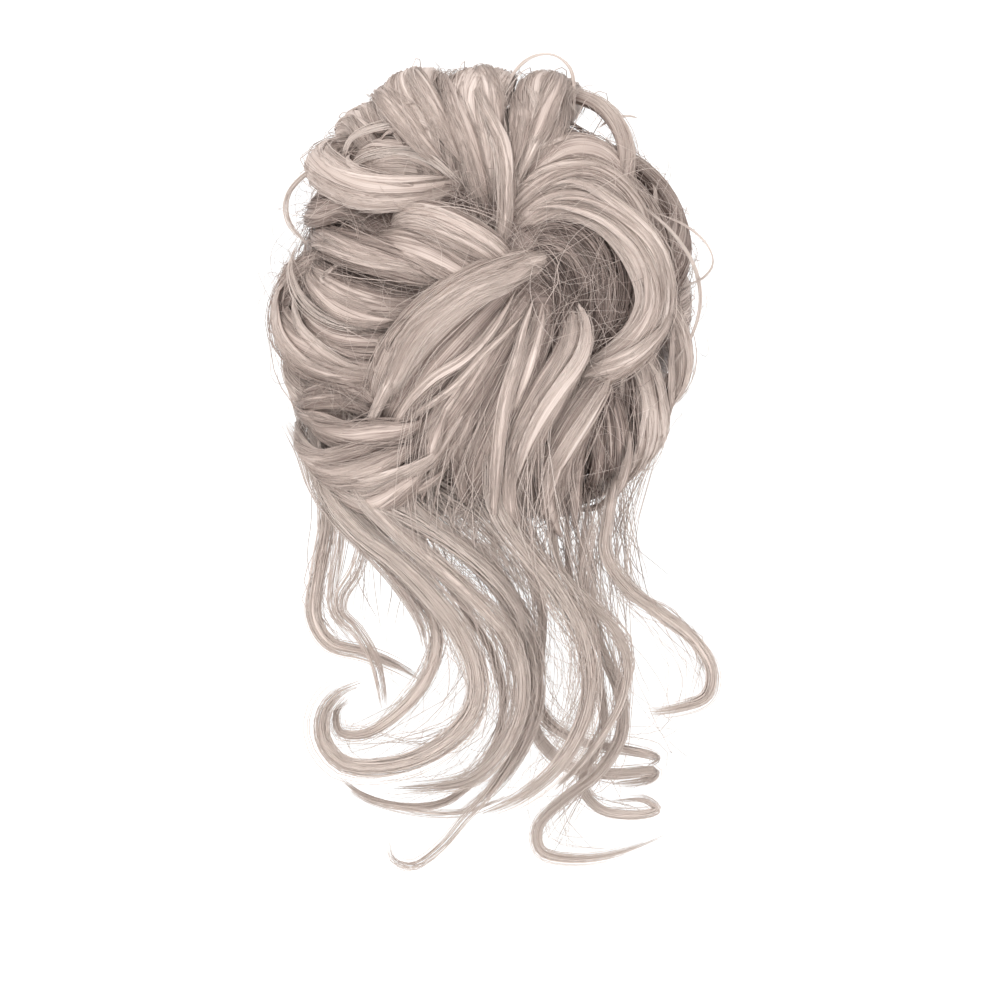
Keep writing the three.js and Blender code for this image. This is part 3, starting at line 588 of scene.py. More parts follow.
def strands_over(
    frames, count, steps, rng, arc=1.75, loose=0.14, wander=0.1, gather=0.5, deep=0.8, ragged=0.12
):
    """Lines of hair laid round a body's outer side in bunches; the loose ones leave it.

    They come with their outward ways and each one's share of its bunch's tone."""
    share = np.linspace(0, 1, steps)
    turn = rng.uniform(-arc, arc, count)
    bunches = rng.uniform(-arc, arc, max(3, count // 14))
    own = np.argmin(abs(turn[:, None] - bunches), axis=1)
    nearest = bunches[own]
    shade = rng.normal(0, 0.08, len(bunches))[own]
    start, end = rng.uniform(0, ragged, (2, count))
    t = start[:, None] + (1 - end - start)[:, None] * share
    pull = gather * (0.3 + 0.7 * np.sin(np.pi * t) ** 2)
    phase = rng.uniform(0, 2 * np.pi, (count, 1))
    pace = rng.uniform(0.5, 2, (count, 1))
    turn = turn[:, None] * (1 - pull) + nearest[:, None] * pull
    turn = turn + wander * np.sin(2 * np.pi * pace * t + phase)
    away = (rng.random(count) < loose)[:, None]
    parting = rng.uniform(-0.2, 0.7, (count, 1))
    leave = away * rng.normal(0, 1.3, (count, 1)) * np.clip(t - parting, 0, 1) ** 1.5
    lift = away * rng.uniform(0, 0.5, (count, 1)) * np.sin(np.pi * t)
    reach = rng.uniform(deep, 1.05, (count, 1))
    lines, out = follow(frames, t, reach * np.sin(turn) + leave, reach * np.cos(turn) + lift)
    return lines, out, shade


def follow(frames, t, sideways, height):
    """Places at shares t along the frames, sideways and height in half sizes."""
    rings = len(frames["middle"])
    place = np.clip(t, 0, 1) * (rings - 1)
    i = np.minimum(place.astype(int), rings - 2)
    w = place - i

    def at(name):
        values = frames[name]
        blend = w if values.ndim == 1 else w[..., None]
        return values[i] * (1 - blend) + values[i + 1] * blend

    out = unit(at("out"))
    lines = (
        at("middle")
        + at("side") * (at("width") * sideways)[..., None]
        + out * (at("thickness") * height)[..., None]
    )
    return lines, out


def slimmed(frames, share):
    return dict(frames, width=frames["width"] * share, thickness=frames["thickness"] * share)


# Materials

def node(tree, kind, inputs=(), **settings):
    """A shader node with its settings, and its inputs set or linked by name or index."""
    made = tree.nodes.new(kind)
    for key, value in settings.items():
        setattr(made, key, value)
    for key, value in dict(inputs).items():
        if isinstance(value, bpy.types.NodeSocket):
            tree.links.new(value, made.inputs[key])
        else:
            made.inputs[key].default_value = value
    return made


def blank(name):
    material = bpy.data.materials.new(name)
    material.use_nodes = True
    tree = material.node_tree
    tree.nodes.clear()
    return material, tree


def finish_with(tree, **inputs):
    shader = node(tree, "ShaderNodeBsdfPrincipled", {k.replace("_", " "): v for k, v in inputs.items()})
    node(tree, "ShaderNodeOutputMaterial", {"Surface": shader.outputs[0]})


def ramp(tree, factor, stops):
    made = node(tree, "ShaderNodeValToRGB", {"Fac": factor})
    elements = made.color_ramp.elements
    while len(elements) < len(stops):
        elements.new(0.5)
    for element, (place, colour) in zip(elements, stops):
        element.position = place
        element.color = (*colour, 1)
    return made.outputs["Color"]


def summed(tree, first, *terms):
    """first plus each (value, weight, centre): the value's distance from its centre, weighted."""
    total = first
    for value, weight, centre in terms:
        shifted = node(tree, "ShaderNodeMath", {0: value, 1: centre}, operation="SUBTRACT")
        total = node(
            tree, "ShaderNodeMath", {0: shifted.outputs[0], 1: weight, 2: total}, operation="MULTIPLY_ADD"
        ).outputs[0]
    return total


HAIR_TONES = [  # from the shade deep in the knot to its palest strands
    (0.0, (0.08, 0.057, 0.049)),
    (0.25, (0.27, 0.203, 0.178)),
    (0.5, (0.485, 0.392, 0.347)),
    (0.75, (0.63, 0.53, 0.478)),
    (1.0, (0.73, 0.638, 0.582)),
]


def hair_material():
    """Fine lengthwise lines of lighter and darker hair, with a soft sheen along them."""
    material, tree = blank("hair_strands")
    place = node(tree, "ShaderNodeUVMap", uv_map="OFBake").outputs[0]
    tone = node(tree, "ShaderNodeAttribute", attribute_name="tone").outputs["Fac"]
    lines = {}
    for name, along, across, detail in (("fine", 2.0, 210, 2), ("broad", 1.6, 72, 2), ("bands", 7, 3, 1)):
        moved = node(tree, "ShaderNodeMapping", {"Vector": place, "Scale": (along, across, 1)})
        noise = node(tree, "ShaderNodeTexNoise", {"Vector": moved.outputs[0], "Scale": 1, "Detail": detail})
        lines[name] = noise.outputs["Fac"]
    value = summed(
        tree, tone, (lines["fine"], 0.85, 0.5), (lines["broad"], 0.55, 0.5), (lines["bands"], 0.16, 0.5)
    )
    colour = ramp(tree, value, HAIR_TONES)
    height = summed(tree, lines["fine"], (lines["broad"], 1.6, 0.5))
    bump = node(tree, "ShaderNodeBump", {"Height": height, "Strength": 0.45, "Distance": 0.3 * MM})
    rough = node(
        tree, "ShaderNodeMath", {0: lines["fine"], 1: 0.25, 2: 0.38}, operation="MULTIPLY_ADD"
    ).outputs[0]
    finish_with(tree, Base_Color=colour, Roughness=rough, Normal=bump.outputs[0], Specular_IOR_Level=0.35)
    return material


def under_material():
    """The hair under the locks: lines that run out from the knot, in shade."""
    material, tree = blank("hair_under")
    flow = node(tree, "ShaderNodeAttribute", attribute_name="flow").outputs["Vector"]
    fine = node(tree, "ShaderNodeTexNoise", {"Vector": flow, "Scale": 130, "Detail": 3}).outputs["Fac"]
    broad = node(tree, "ShaderNodeTexNoise", {"Vector": flow, "Scale": 22, "Detail": 2}).outputs["Fac"]
    value = summed(tree, 0.24, (fine, 0.5, 0.5), (broad, 0.4, 0.5))
    colour = ramp(tree, value, HAIR_TONES)
    height = summed(tree, fine, (broad, 1.5, 0.5))
    bump = node(tree, "ShaderNodeBump", {"Height": height, "Strength": 0.6, "Distance": 0.5 * MM})
    finish_with(tree, Base_Color=colour, Roughness=0.5, Normal=bump.outputs[0])
    return material


def elastic_material():
    """Braided elastic: small plaits that slant both ways, whole turns of them along and round."""
    material, tree = blank("braided_elastic")
    place = node(tree, "ShaderNodeUVMap", uv_map="OFBake").outputs[0]
    plaits = []
    for slant in (1, -1):
        scale = (PLAITS[0], PLAITS[1] * slant, 1)
        turned = node(tree, "ShaderNodeMapping", {"Vector": place, "Scale": scale})
        parts = node(tree, "ShaderNodeSeparateXYZ", {0: turned.outputs[0]})
        both = node(tree, "ShaderNodeMath", {0: parts.outputs[0], 1: parts.outputs[1]}, operation="ADD")
        wave = node(tree, "ShaderNodeMath", {0: both.outputs[0]}, operation="SINE")
        plaits.append(wave.outputs[0])
    high = node(tree, "ShaderNodeMath", {0: plaits[0], 1: plaits[1]}, operation="MAXIMUM").outputs[0]
    # Painted shade: the colour darkens in the hollows between the plaits.
    colour = ramp(tree, high, [(0.0, (0.2, 0.165, 0.15)), (1.0, (0.4, 0.34, 0.31))])
    bump = node(tree, "ShaderNodeBump", {"Height": high, "Strength": 0.6, "Distance": 0.4 * MM})
    finish_with(tree, Base_Color=colour, Roughness=0.85, Normal=bump.outputs[0])
    return material


def plain_material(name, colour, glow):
    material, tree = blank(name)
    finish_with(
        tree, Base_Color=(*colour, 1), Roughness=0.9, Emission_Color=(1, 1, 1, 1), Emission_Strength=glow
    )
    return material


# The mass of hair under the locks

def outside_head(points):
    return np.linalg.norm(points - HEAD_CENTRE, axis=-1) > HEAD_RADIUS + HEAD_CLEARANCE


def under_lines(rng, count, steps):
    """Lines from the knot outwards over the mass and round it to the wearer's side."""
    angle = rng.uniform(0, 2 * np.pi, count)
    first = rng.uniform(0.1, 1.3, count)
    last = first + rng.uniform(0.5, 0.9, count)
    twist = rng.normal(-0.9, 0.7, count)
    crest = CORE_SHARE + rng.uniform(-0.005, 0.03, count)
    wave = rng.uniform(0, 2 * np.pi, count)
    share = np.linspace(0, 1, steps)

    def lines(last):
        reach = first[:, None] + (last - first)[:, None] * share
        turn = angle[:, None] + twist[:, None] * reach + 0.03 * np.sin(9 * reach + wave[:, None])
        off = np.clip(1 - reach, 0, 1)
        across = KNOT[0] * off + reach * np.cos(turn)
        up = KNOT[1] * off + reach * np.sin(turn)
        way = way_to(across, up)
        lift = crest[:, None] + 0.008 * np.sin(14 * reach + wave[:, None])
        return CENTRE + way * SIZE * lift[..., None], unit(way / SIZE)

    points, _ = lines(last)
    clear = np.logical_and.accumulate(outside_head(points), axis=1).mean(axis=1)
    kept = clear > 0.15
    last = first + (last - first) * np.maximum(clear, 0.16)
    points, out = lines(last)
    return points[kept], out[kept]


def inner_mass(under, strand_material):
    """The hollow mass, from its CAD solid: finer, grooved along the flow, with strands on it."""
    rng = np.random.default_rng(71)
    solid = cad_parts["inner_mass"]
    shell = bpy.data.objects.new("inner_mass_hair", solid.data.copy())
    bpy.context.scene.collection.objects.link(shell)
    remesh = shell.modifiers.new("even", "REMESH")
    remesh.mode = "VOXEL"
    remesh.voxel_size = CORE_GRAIN
    smooth = shell.modifiers.new("smooth", "SMOOTH")
    smooth.iterations = 3
    graph = bpy.context.evaluated_depsgraph_get()
    mesh = bpy.data.meshes.new_from_object(shell.evaluated_get(graph))
    shell.modifiers.clear()
    shell.data = mesh
    count = len(mesh.vertices)
    points = np.empty(count * 3, np.float32)
    mesh.vertices.foreach_get("co", points)
    points = points.reshape(-1, 3).astype(float)
    way = (points - CENTRE) / SIZE
    turn = np.arctan2(way[:, 2], way[:, 0])
    flow = np.stack([np.cos(turn), np.sin(turn), 0.12 * way[:, 1]], -1)
    ways = mesh.attributes.new("flow", "FLOAT_VECTOR", "POINT")
    ways.data.foreach_set("vector", flow.astype(np.float32).ravel())
    mesh.materials.clear()
    mesh.materials.append(under)
    mesh.shade_smooth()
    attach(shell, "root")
    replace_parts(shell, "inner_mass")
    hair = Hair("inner_mass_strands")
    lines, out = under_lines(rng, CORE_STRANDS, CORE_STRAND_STEPS)
    hair.strands(lines, out, STRAND_RADIUS, rng, CORE_TONE, CORE_SPREAD)
    hair.make(strand_material)


def elastic_band(material):
    """The stretched cord, a little gathered round its length."""
    steps, sides = BAND_STEPS, BAND_SIDES
    turn = np.arange(steps) * 2 * np.pi / steps
    round_cord = np.arange(sides) * 2 * np.pi / sides
    across = np.array([1.0, 0, 0])
    up = np.cross(SEAT_AXIS, across)
    way = np.cos(turn)[:, None] * across + np.sin(turn)[:, None] * up
    thick = CORD_RADIUS * (0.95 + 0.04 * np.sin(BAND_GATHERS * turn))
    points = (
        (BAND_RADIUS * way)[:, None]
        + way[:, None] * (thick[:, None] * np.cos(round_cord))[..., None]
        + SEAT_AXIS * (thick[:, None] * np.sin(round_cord))[..., None]
    )
    hair = Hair("elastic_band_cord")
    j, k = np.meshgrid(np.arange(steps), np.arange(sides), indexing="ij")
    j2, k2 = (j + 1) % steps, (k + 1) % sides
    corners = np.stack([j * sides + k, j2 * sides + k, j2 * sides + k2, j * sides + k2], -1)
    spots = [np.stack([(j + a) / steps, (k + b) / sides], -1) for a, b in ((0, 0), (1, 0), (1, 1), (0, 1))]
    hair.add(points, 0.5, corners, np.stack(spots, -2))
    hair.faces[3].append(np.zeros((0, 3), int))
    hair.maps[3].append(np.zeros((0, 3, 2)))
    piece = hair.make(material)
    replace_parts(piece, "elastic_band")


# Locks and tendrils

def named(columns, table):
    return {name: dict(zip(columns, row)) for name, row in table.items()}


def lock_rows():
    rows = named(LOCK_COLUMNS, LOCKS)
    for name, row in named(FAR_COLUMNS, FAR_LOCKS).items():
        rows[name] = {"route": far_route(row), "crest": row["crest"], "tone": PLAIN_TONE, **FAR_LOOK}
    return rows


def frames_of_locks():
    frames = {}
    for name, row in lock_rows().items():
        look = LOCK_LOOKS.get(name, {})
        wave = {key: look[key] for key in ("waves", "high_mm", "swing_mm") if key in look}
        frames[name] = lock_frames(
            row["route"], row["width"], row["thickness"], row["crest"], LOCK_RINGS, **wave
        )
    return frames


def make_locks(all_frames, material):
    for seed, (name, row) in enumerate(lock_rows().items()):
        rng = np.random.default_rng(seed)
        frames = all_frames[name]
        look = LOCK_LOOKS.get(name, {})
        tone = row["tone"]
        loose, deep = look.get("loose", 0.14), look.get("deep", 0.92)
        hair = Hair(name + "_hair")
        hair.body(slimmed(frames, BODY_SHARE), LOCK_SIDES, rng, tone - BODY_SHADE, 0.3)
        count = round(LOCK_STRANDS * min(row["width"], 1.5) ** 0.8 * row.get("strands", 1))
        lines, out, shade = strands_over(frames, count, LOCK_STRAND_STEPS, rng, loose=loose, deep=deep)
        hair.strands(lines, out, STRAND_RADIUS, rng, tone + shade, look.get("spread", PLAIN_SPREAD))
        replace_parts(hair.make(material), name)


def frames_of_tendrils():
    return {
        name: tendril_frames(row["route"], row["width"], row["tip"], TENDRIL_RINGS)
        for name, row in named(TENDRIL_COLUMNS, TENDRILS).items()
    }


def make_tendrils(all_frames, material):
    for seed, (name, row) in enumerate(named(TENDRIL_COLUMNS, TENDRILS).items(), start=200):
        rng = np.random.default_rng(seed)
        frames = all_frames[name]
        hair = Hair(name + "_hair")
        t = np.linspace(0, 1, TENDRIL_RINGS)
        narrow = 0.42 * np.minimum(1, np.minimum(t / 0.1, (1 - t) / 0.22)) + 0.02  # thin at both ends
        hair.body(slimmed(frames, narrow), TENDRIL_SIDES, rng, TENDRIL_BODY_TONE, 0.12)
        count = round(TENDRIL_STRANDS * row["width"])
        lines, out, shade = strands_over(
            frames, count, TENDRIL_STRAND_STEPS, rng,
            arc=3, loose=0.34, wander=0.4, gather=0.4, deep=0.35,
        )
        hair.strands(lines, out, STRAND_RADIUS, rng, TENDRIL_TONE + 0.6 * shade, 0.08)
        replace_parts(hair.make(material), name)


# Loose hair

VEILS = [  # the hair between two locks: their names, whether the second runs the other way, strands
    ("crown_left", "crown_middle", False, 78),
    ("crown_middle", "crown_right", False, 78),
    ("crown_corner", "crown_left", False, 54),
    ("crown_fold", "left_upper_loop", False, 24),
    ("fan_left_edge", "fan_left_inner", False, 18),
    ("fan_left_inner", "fan_middle", False, 26),
    ("fan_middle", "fan_right", False, 24),
    ("fan_right", "ribbon_centre", False, 16),
    ("right_fan_upper", "right_fan_middle", False, 30),
    ("right_fan_middle", "right_big_arc", False, 30),
    ("left_middle_sweep", "left_lower_sweep", True, 36),
    ("left_lower_sweep", "left_under_sweep", False, 36),
    ("knot_band_upper", "knot_band_lower", False, 24),
    ("lower_left_band", "lower_band", False, 36),
    ("ribbon_centre", "right_low_sweep", False, 26),
    ("right_low_sweep", "right_inner_fall", False, 40),
    ("right_inner_fall", "right_bottom_cup", False, 40),
    ("left_under_sweep", "left_low_corner", False, 24),
    ("right_big_arc", "right_back_puff", False, 18),
]

PITS = [  # gaps that fine hairs cross: middle and radius in the routes' shares, hairs
    ((-0.1, 0.45), 0.2, 26),
    ((0.02, 0.36), 0.15, 18),
    ((-0.25, 0.05), 0.25, 22),
    ((0.34, 0.14), 0.26, 20),
    ((0.4, -0.08), 0.24, 14),
    ((-0.3, -0.85), 0.35, 40),
    ((-0.6, -0.25), 0.35, 26),
    ((0.6, -0.6), 0.25, 20),
    ((0.7, 0.55), 0.25, 24),
    ((-0.7, 0.35), 0.3, 20),
    ((-0.86, 0.08), 0.16, 24),
    ((-0.74, -0.46), 0.16, 46),
    ((-0.58, -0.62), 0.22, 34),
    ((-0.2, -0.84), 0.16, 30),
]

# Fine locks laid on the knot: width in mm, tone, and the places along each in the routes' shares.
FINE_LOCKS = [
    # the fan
    (13, 0.68, [
        (0.24, 0.17), (0.11, 0.1), (-0.04, 0.04), (-0.17, -0.04), (-0.3, -0.15), (-0.38, -0.3),
        (-0.44, -0.41),
    ]),
    (5, 0.74, [
        (0.05, 0.09), (-0.11, 0.02), (-0.24, -0.08), (-0.35, -0.25), (-0.44, -0.38), (-0.51, -0.52),
        (-0.53, -0.64),
    ]),
    (4.2, 0.66, [
        (0.15, 0.06), (0.08, -0.06), (-0.02, -0.19), (-0.12, -0.27), (-0.23, -0.33), (-0.33, -0.42),
        (-0.4, -0.52), (-0.45, -0.61),
    ]),
    (3.4, 0.68, [
        (0.19, -0.06), (0.08, -0.16), (-0.02, -0.25), (-0.12, -0.36), (-0.23, -0.44), (-0.33, -0.5),
        (-0.41, -0.59),
    ]),
    (5.6, 0.74, [
        (0.24, 0.02), (0.18, -0.12), (0.14, -0.25), (0.09, -0.39), (0.06, -0.52), (0.04, -0.65),
        (0.03, -0.78), (0.03, -0.87),
    ]),
    (3, 0.64, [(0.29, -0.03), (0.25, -0.15), (0.2, -0.29), (0.15, -0.41), (0.11, -0.52)]),
    (6.6, 0.72, [
        (0.42, 0.02), (0.46, -0.08), (0.45, -0.18), (0.4, -0.27), (0.32, -0.36), (0.24, -0.47),
        (0.18, -0.58), (0.14, -0.7), (0.12, -0.81),
    ]),
    (4, 0.62, [
        (0.48, -0.18), (0.42, -0.29), (0.35, -0.39), (0.29, -0.48), (0.24, -0.57), (0.2, -0.69),
        (0.2, -0.78),
    ]),
    (3, 0.54, [(0.01, -0.42), (-0.04, -0.52), (-0.09, -0.61), (-0.14, -0.72), (-0.17, -0.81)]),
    (3.4, 0.6, [(0.32, -0.42), (0.27, -0.52), (0.24, -0.64), (0.24, -0.76), (0.25, -0.87)]),
    (2.6, 0.62, [(-0.08, -0.3), (-0.14, -0.41), (-0.21, -0.51), (-0.28, -0.61), (-0.33, -0.72)]),
    # the left side
    (4.4, 0.64, [(-0.87, 0.27), (-0.74, 0.24), (-0.61, 0.19), (-0.46, 0.15), (-0.34, 0.13), (-0.24, 0.09)]),
    (5, 0.56, [(-0.82, 0.33), (-0.7, 0.28), (-0.6, 0.23), (-0.48, 0.19), (-0.37, 0.16)]),
    (2, 0.64, [(-0.66, 0.17), (-0.72, 0.15), (-0.76, 0.1), (-0.68, 0.05), (-0.58, 0), (-0.48, -0.03)]),
    (7, 0.52, [(-0.88, 0.15), (-0.81, 0.08), (-0.72, 0), (-0.62, -0.06), (-0.5, -0.09), (-0.41, -0.09)]),
    (3, 0.6, [(-0.86, 0.18), (-0.79, 0.09), (-0.68, 0.02), (-0.58, -0.03), (-0.47, -0.06)]),
    (6, 0.6, [
        (-0.95, 0.13), (-0.96, 0.04), (-0.94, -0.05), (-0.9, -0.15), (-0.82, -0.24), (-0.73, -0.3),
        (-0.64, -0.34),
    ]),
    (5.4, 0.66, [
        (-0.94, 0.08), (-0.9, -0.03), (-0.84, -0.12), (-0.75, -0.2), (-0.65, -0.27), (-0.56, -0.31),
    ]),
    (4.6, 0.58, [(-0.91, -0.18), (-0.88, -0.27), (-0.83, -0.33), (-0.78, -0.38), (-0.71, -0.42)]),
    (3.6, 0.5, [(-0.28, -0.08), (-0.36, -0.1), (-0.41, -0.15), (-0.43, -0.19), (-0.39, -0.23)]),
    (1.4, 0.6, [(-0.48, -0.13), (-0.51, -0.21), (-0.5, -0.29), (-0.46, -0.38)]),
    (3, 0.46, [(-0.83, -0.12), (-0.72, -0.19), (-0.61, -0.24), (-0.5, -0.25)]),
    # the fan's root
    (5, 0.6, [(0, 0.06), (0.1, 0.12), (0.2, 0.17), (0.29, 0.2), (0.36, 0.21)]),
    (4, 0.54, [(0.08, 0.03), (0.16, 0.1), (0.24, 0.14), (0.33, 0.15)]),
    # the crown
    (9, 0.5, [(-0.21, 1.02), (-0.17, 0.9), (-0.13, 0.78), (-0.08, 0.66), (-0.03, 0.52), (0.01, 0.42)]),
    (9, 0.54, [(0.12, 1.02), (0.14, 0.9), (0.15, 0.79), (0.14, 0.67), (0.12, 0.56)]),
    (10, 0.56, [(-0.5, 0.94), (-0.44, 0.85), (-0.37, 0.76), (-0.28, 0.66), (-0.18, 0.59)]),
    (9, 0.56, [(-0.35, 1.02), (-0.3, 0.91), (-0.24, 0.8), (-0.17, 0.69), (-0.11, 0.6)]),
    (9, 0.6, [(-0.04, 1.03), (0, 0.94), (0.03, 0.84), (0.06, 0.74)]),
    (8, 0.58, [(0.31, 0.99), (0.3, 0.91), (0.27, 0.82), (0.23, 0.72), (0.18, 0.65)]),
    (3.2, 0.74, [
        (-0.71, 0.72), (-0.72, 0.63), (-0.68, 0.57), (-0.58, 0.52), (-0.45, 0.5), (-0.32, 0.51),
        (-0.24, 0.54), (-0.16, 0.58),
    ]),
    (2.6, 0.72, [(-0.63, 0.72), (-0.63, 0.63), (-0.59, 0.57), (-0.51, 0.52), (-0.4, 0.49), (-0.3, 0.49)]),
    (3.4, 0.64, [(-0.58, 0.6), (-0.49, 0.62), (-0.39, 0.63), (-0.3, 0.62), (-0.24, 0.59), (-0.18, 0.54)]),
    (3.4, 0.68, [(-0.51, 0.71), (-0.42, 0.73), (-0.32, 0.75), (-0.24, 0.72), (-0.15, 0.66), (-0.09, 0.61)]),
    (4, 0.66, [(-0.62, 0.84), (-0.55, 0.79), (-0.47, 0.77), (-0.37, 0.8), (-0.29, 0.81), (-0.2, 0.78)]),
    (4.4, 0.7, [(-0.17, 0.92), (-0.12, 0.85), (-0.09, 0.78), (-0.06, 0.72), (-0.01, 0.66)]),
    (5.4, 0.68, [
        (-0.07, 0.94), (-0.03, 0.84), (0.02, 0.75), (0.07, 0.66), (0.09, 0.55), (0.09, 0.42),
        (0.08, 0.29),
    ]),
    (5, 0.72, [(0.16, 0.94), (0.21, 0.84), (0.24, 0.75), (0.2, 0.67), (0.16, 0.6)]),
    (4.6, 0.74, [(0.34, 0.84), (0.27, 0.76), (0.21, 0.68), (0.17, 0.6), (0.14, 0.53)]),
    # the right side
    (2.8, 0.7, [(0.15, 0.61), (0.21, 0.66), (0.28, 0.69), (0.37, 0.72), (0.48, 0.74)]),
    (3.2, 0.68, [(0.16, 0.53), (0.22, 0.56), (0.29, 0.58), (0.4, 0.59), (0.49, 0.58), (0.56, 0.54)]),
    (2.6, 0.7, [
        (0.2, 0.42), (0.3, 0.42), (0.4, 0.39), (0.5, 0.34), (0.57, 0.28), (0.64, 0.21), (0.68, 0.13),
        (0.69, 0.04), (0.68, -0.06), (0.64, -0.14),
    ]),
    (5, 0.72, [
        (0.25, 0.5), (0.36, 0.52), (0.46, 0.49), (0.55, 0.42), (0.64, 0.35), (0.72, 0.27), (0.77, 0.19),
        (0.8, 0.09), (0.81, -0.02), (0.79, -0.12),
    ]),
    (4, 0.64, [
        (0.29, 0.45), (0.4, 0.44), (0.5, 0.4), (0.59, 0.34), (0.66, 0.28), (0.72, 0.2), (0.75, 0.1),
        (0.76, 0.01), (0.73, -0.09),
    ]),
    (2.4, 0.66, [(0.5, 0.82), (0.58, 0.78), (0.63, 0.72), (0.65, 0.64), (0.64, 0.57)]),
    (7.4, 0.72, [(0.82, -0.01), (0.76, -0.12), (0.67, -0.21), (0.59, -0.27), (0.5, -0.32), (0.44, -0.37)]),
    (7.6, 0.7, [
        (0.59, -0.33), (0.53, -0.4), (0.45, -0.49), (0.37, -0.59), (0.31, -0.69), (0.26, -0.78),
        (0.22, -0.87),
    ]),
    (5.6, 0.7, [
        (0.73, -0.24), (0.78, -0.33), (0.8, -0.44), (0.81, -0.55), (0.78, -0.66), (0.74, -0.74),
        (0.68, -0.81), (0.6, -0.86),
    ]),
    (3.8, 0.72, [(0.72, -0.29), (0.74, -0.39), (0.74, -0.49), (0.72, -0.6), (0.68, -0.7), (0.62, -0.79)]),
    (2, 0.62, [(0.7, -0.31), (0.69, -0.42), (0.68, -0.54)]),
    (4.6, 0.62, [(0.88, -0.06), (0.87, -0.16), (0.88, -0.26), (0.87, -0.36), (0.85, -0.46), (0.81, -0.56)]),
    (3, 0.52, [(0.7, 0.65), (0.75, 0.59), (0.77, 0.5), (0.78, 0.41)]),
    (3.4, 0.54, [(0.79, 0.6), (0.84, 0.5), (0.85, 0.41), (0.84, 0.32)]),
    # the lower end
    (6, 0.54, [(-0.04, -0.44), (-0.09, -0.55), (-0.13, -0.67), (-0.12, -0.78), (-0.08, -0.87)]),
    (5.5, 0.58, [(0.15, -0.55), (0.11, -0.66), (0.09, -0.76), (0.11, -0.84), (0.16, -0.9)]),
    (6, 0.6, [(0.34, -0.59), (0.29, -0.68), (0.26, -0.78), (0.27, -0.86), (0.31, -0.91)]),
    (5, 0.54, [(0.51, -0.54), (0.47, -0.65), (0.43, -0.75), (0.38, -0.84), (0.35, -0.9)]),
    (6, 0.6, [(0.7, -0.57), (0.64, -0.67), (0.58, -0.76), (0.52, -0.84), (0.45, -0.9), (0.39, -0.94)]),
    (5, 0.56, [(-0.16, -0.42), (-0.21, -0.54), (-0.24, -0.63), (-0.27, -0.72)]),
    (2.6, 0.66, [(-0.08, -0.46), (-0.14, -0.54), (-0.2, -0.63), (-0.24, -0.72), (-0.28, -0.81)]),
    # the lower left
    (12, 0.48, [
        (-0.85, -0.52), (-0.78, -0.57), (-0.7, -0.6), (-0.61, -0.62), (-0.51, -0.61), (-0.42, -0.59),
    ]),
    (14, 0.5, [
        (-0.8, -0.49), (-0.69, -0.54), (-0.58, -0.57), (-0.48, -0.57), (-0.37, -0.56), (-0.28, -0.52),
    ]),
    (12, 0.56, [(-0.77, -0.59), (-0.63, -0.64), (-0.52, -0.66), (-0.4, -0.65), (-0.3, -0.61)]),
    (12, 0.58, [(-0.72, -0.66), (-0.56, -0.73), (-0.44, -0.76), (-0.34, -0.73), (-0.24, -0.69)]),
    (9, 0.42, [(-0.9, -0.46), (-0.81, -0.44), (-0.72, -0.45), (-0.61, -0.48), (-0.51, -0.53)]),
    (8, 0.46, [(-0.88, -0.41), (-0.79, -0.39), (-0.68, -0.39), (-0.57, -0.42), (-0.5, -0.47)]),
    (8, 0.5, [(-0.91, -0.48), (-0.82, -0.49), (-0.72, -0.51), (-0.62, -0.55), (-0.49, -0.58)]),
    (6, 0.68, [
        (-0.9, -0.5), (-0.8, -0.54), (-0.69, -0.59), (-0.57, -0.63), (-0.45, -0.64), (-0.33, -0.62),
    ]),
    (9, 0.72, [
        (-0.91, -0.51), (-0.81, -0.56), (-0.71, -0.61), (-0.6, -0.66), (-0.48, -0.69), (-0.37, -0.69),
        (-0.25, -0.66), (-0.16, -0.6),
    ]),
    (7, 0.66, [
        (-0.88, -0.55), (-0.78, -0.62), (-0.67, -0.68), (-0.56, -0.72), (-0.42, -0.75), (-0.28, -0.74),
        (-0.16, -0.71),
    ]),
    (10, 0.7, [
        (-0.87, -0.58), (-0.76, -0.65), (-0.65, -0.72), (-0.53, -0.78), (-0.4, -0.82), (-0.27, -0.86),
        (-0.15, -0.89),
    ]),
    (8, 0.62, [
        (-0.83, -0.64), (-0.73, -0.72), (-0.62, -0.78), (-0.48, -0.84), (-0.35, -0.87), (-0.21, -0.92),
        (-0.08, -0.95),
    ]),
    (9, 0.68, [
        (-0.8, -0.7), (-0.71, -0.78), (-0.6, -0.84), (-0.48, -0.89), (-0.34, -0.94), (-0.21, -0.98),
    ]),
]

UNDER_LOCKS = [  # shaded hair in the deep gaps: strands, width as a lock's, crest, tone and route
    (110, 2.0, 0.9, 0.27, [
        (0.1, 0.3), (0.28, 0.38), (0.46, 0.32), (0.57, 0.14), (0.58, -0.08), (0.5, -0.28),
    ]),
    (80, 1.5, 0.89, 0.2, [
        (0.16, 0.2), (0.3, 0.24), (0.42, 0.12), (0.46, -0.06), (0.4, -0.24), (0.3, -0.4),
    ]),
    (60, 1.2, 0.9, 0.3, [(-0.02, 0.5), (-0.1, 0.42), (-0.22, 0.4), (-0.36, 0.44)]),
    (60, 1.4, 0.89, 0.34, [(0.4, -0.1), (0.5, -0.3), (0.52, -0.5), (0.48, -0.7), (0.44, -0.9)]),
    (90, 1.8, 0.88, 0.34, [(-0.8, -0.5), (-0.62, -0.66), (-0.42, -0.8), (-0.2, -0.9), (0.0, -0.98)]),
    (60, 1.4, 0.9, 0.36, [(0.62, 0.7), (0.76, 0.52), (0.84, 0.3), (0.84, 0.06), (0.78, -0.14)]),
]


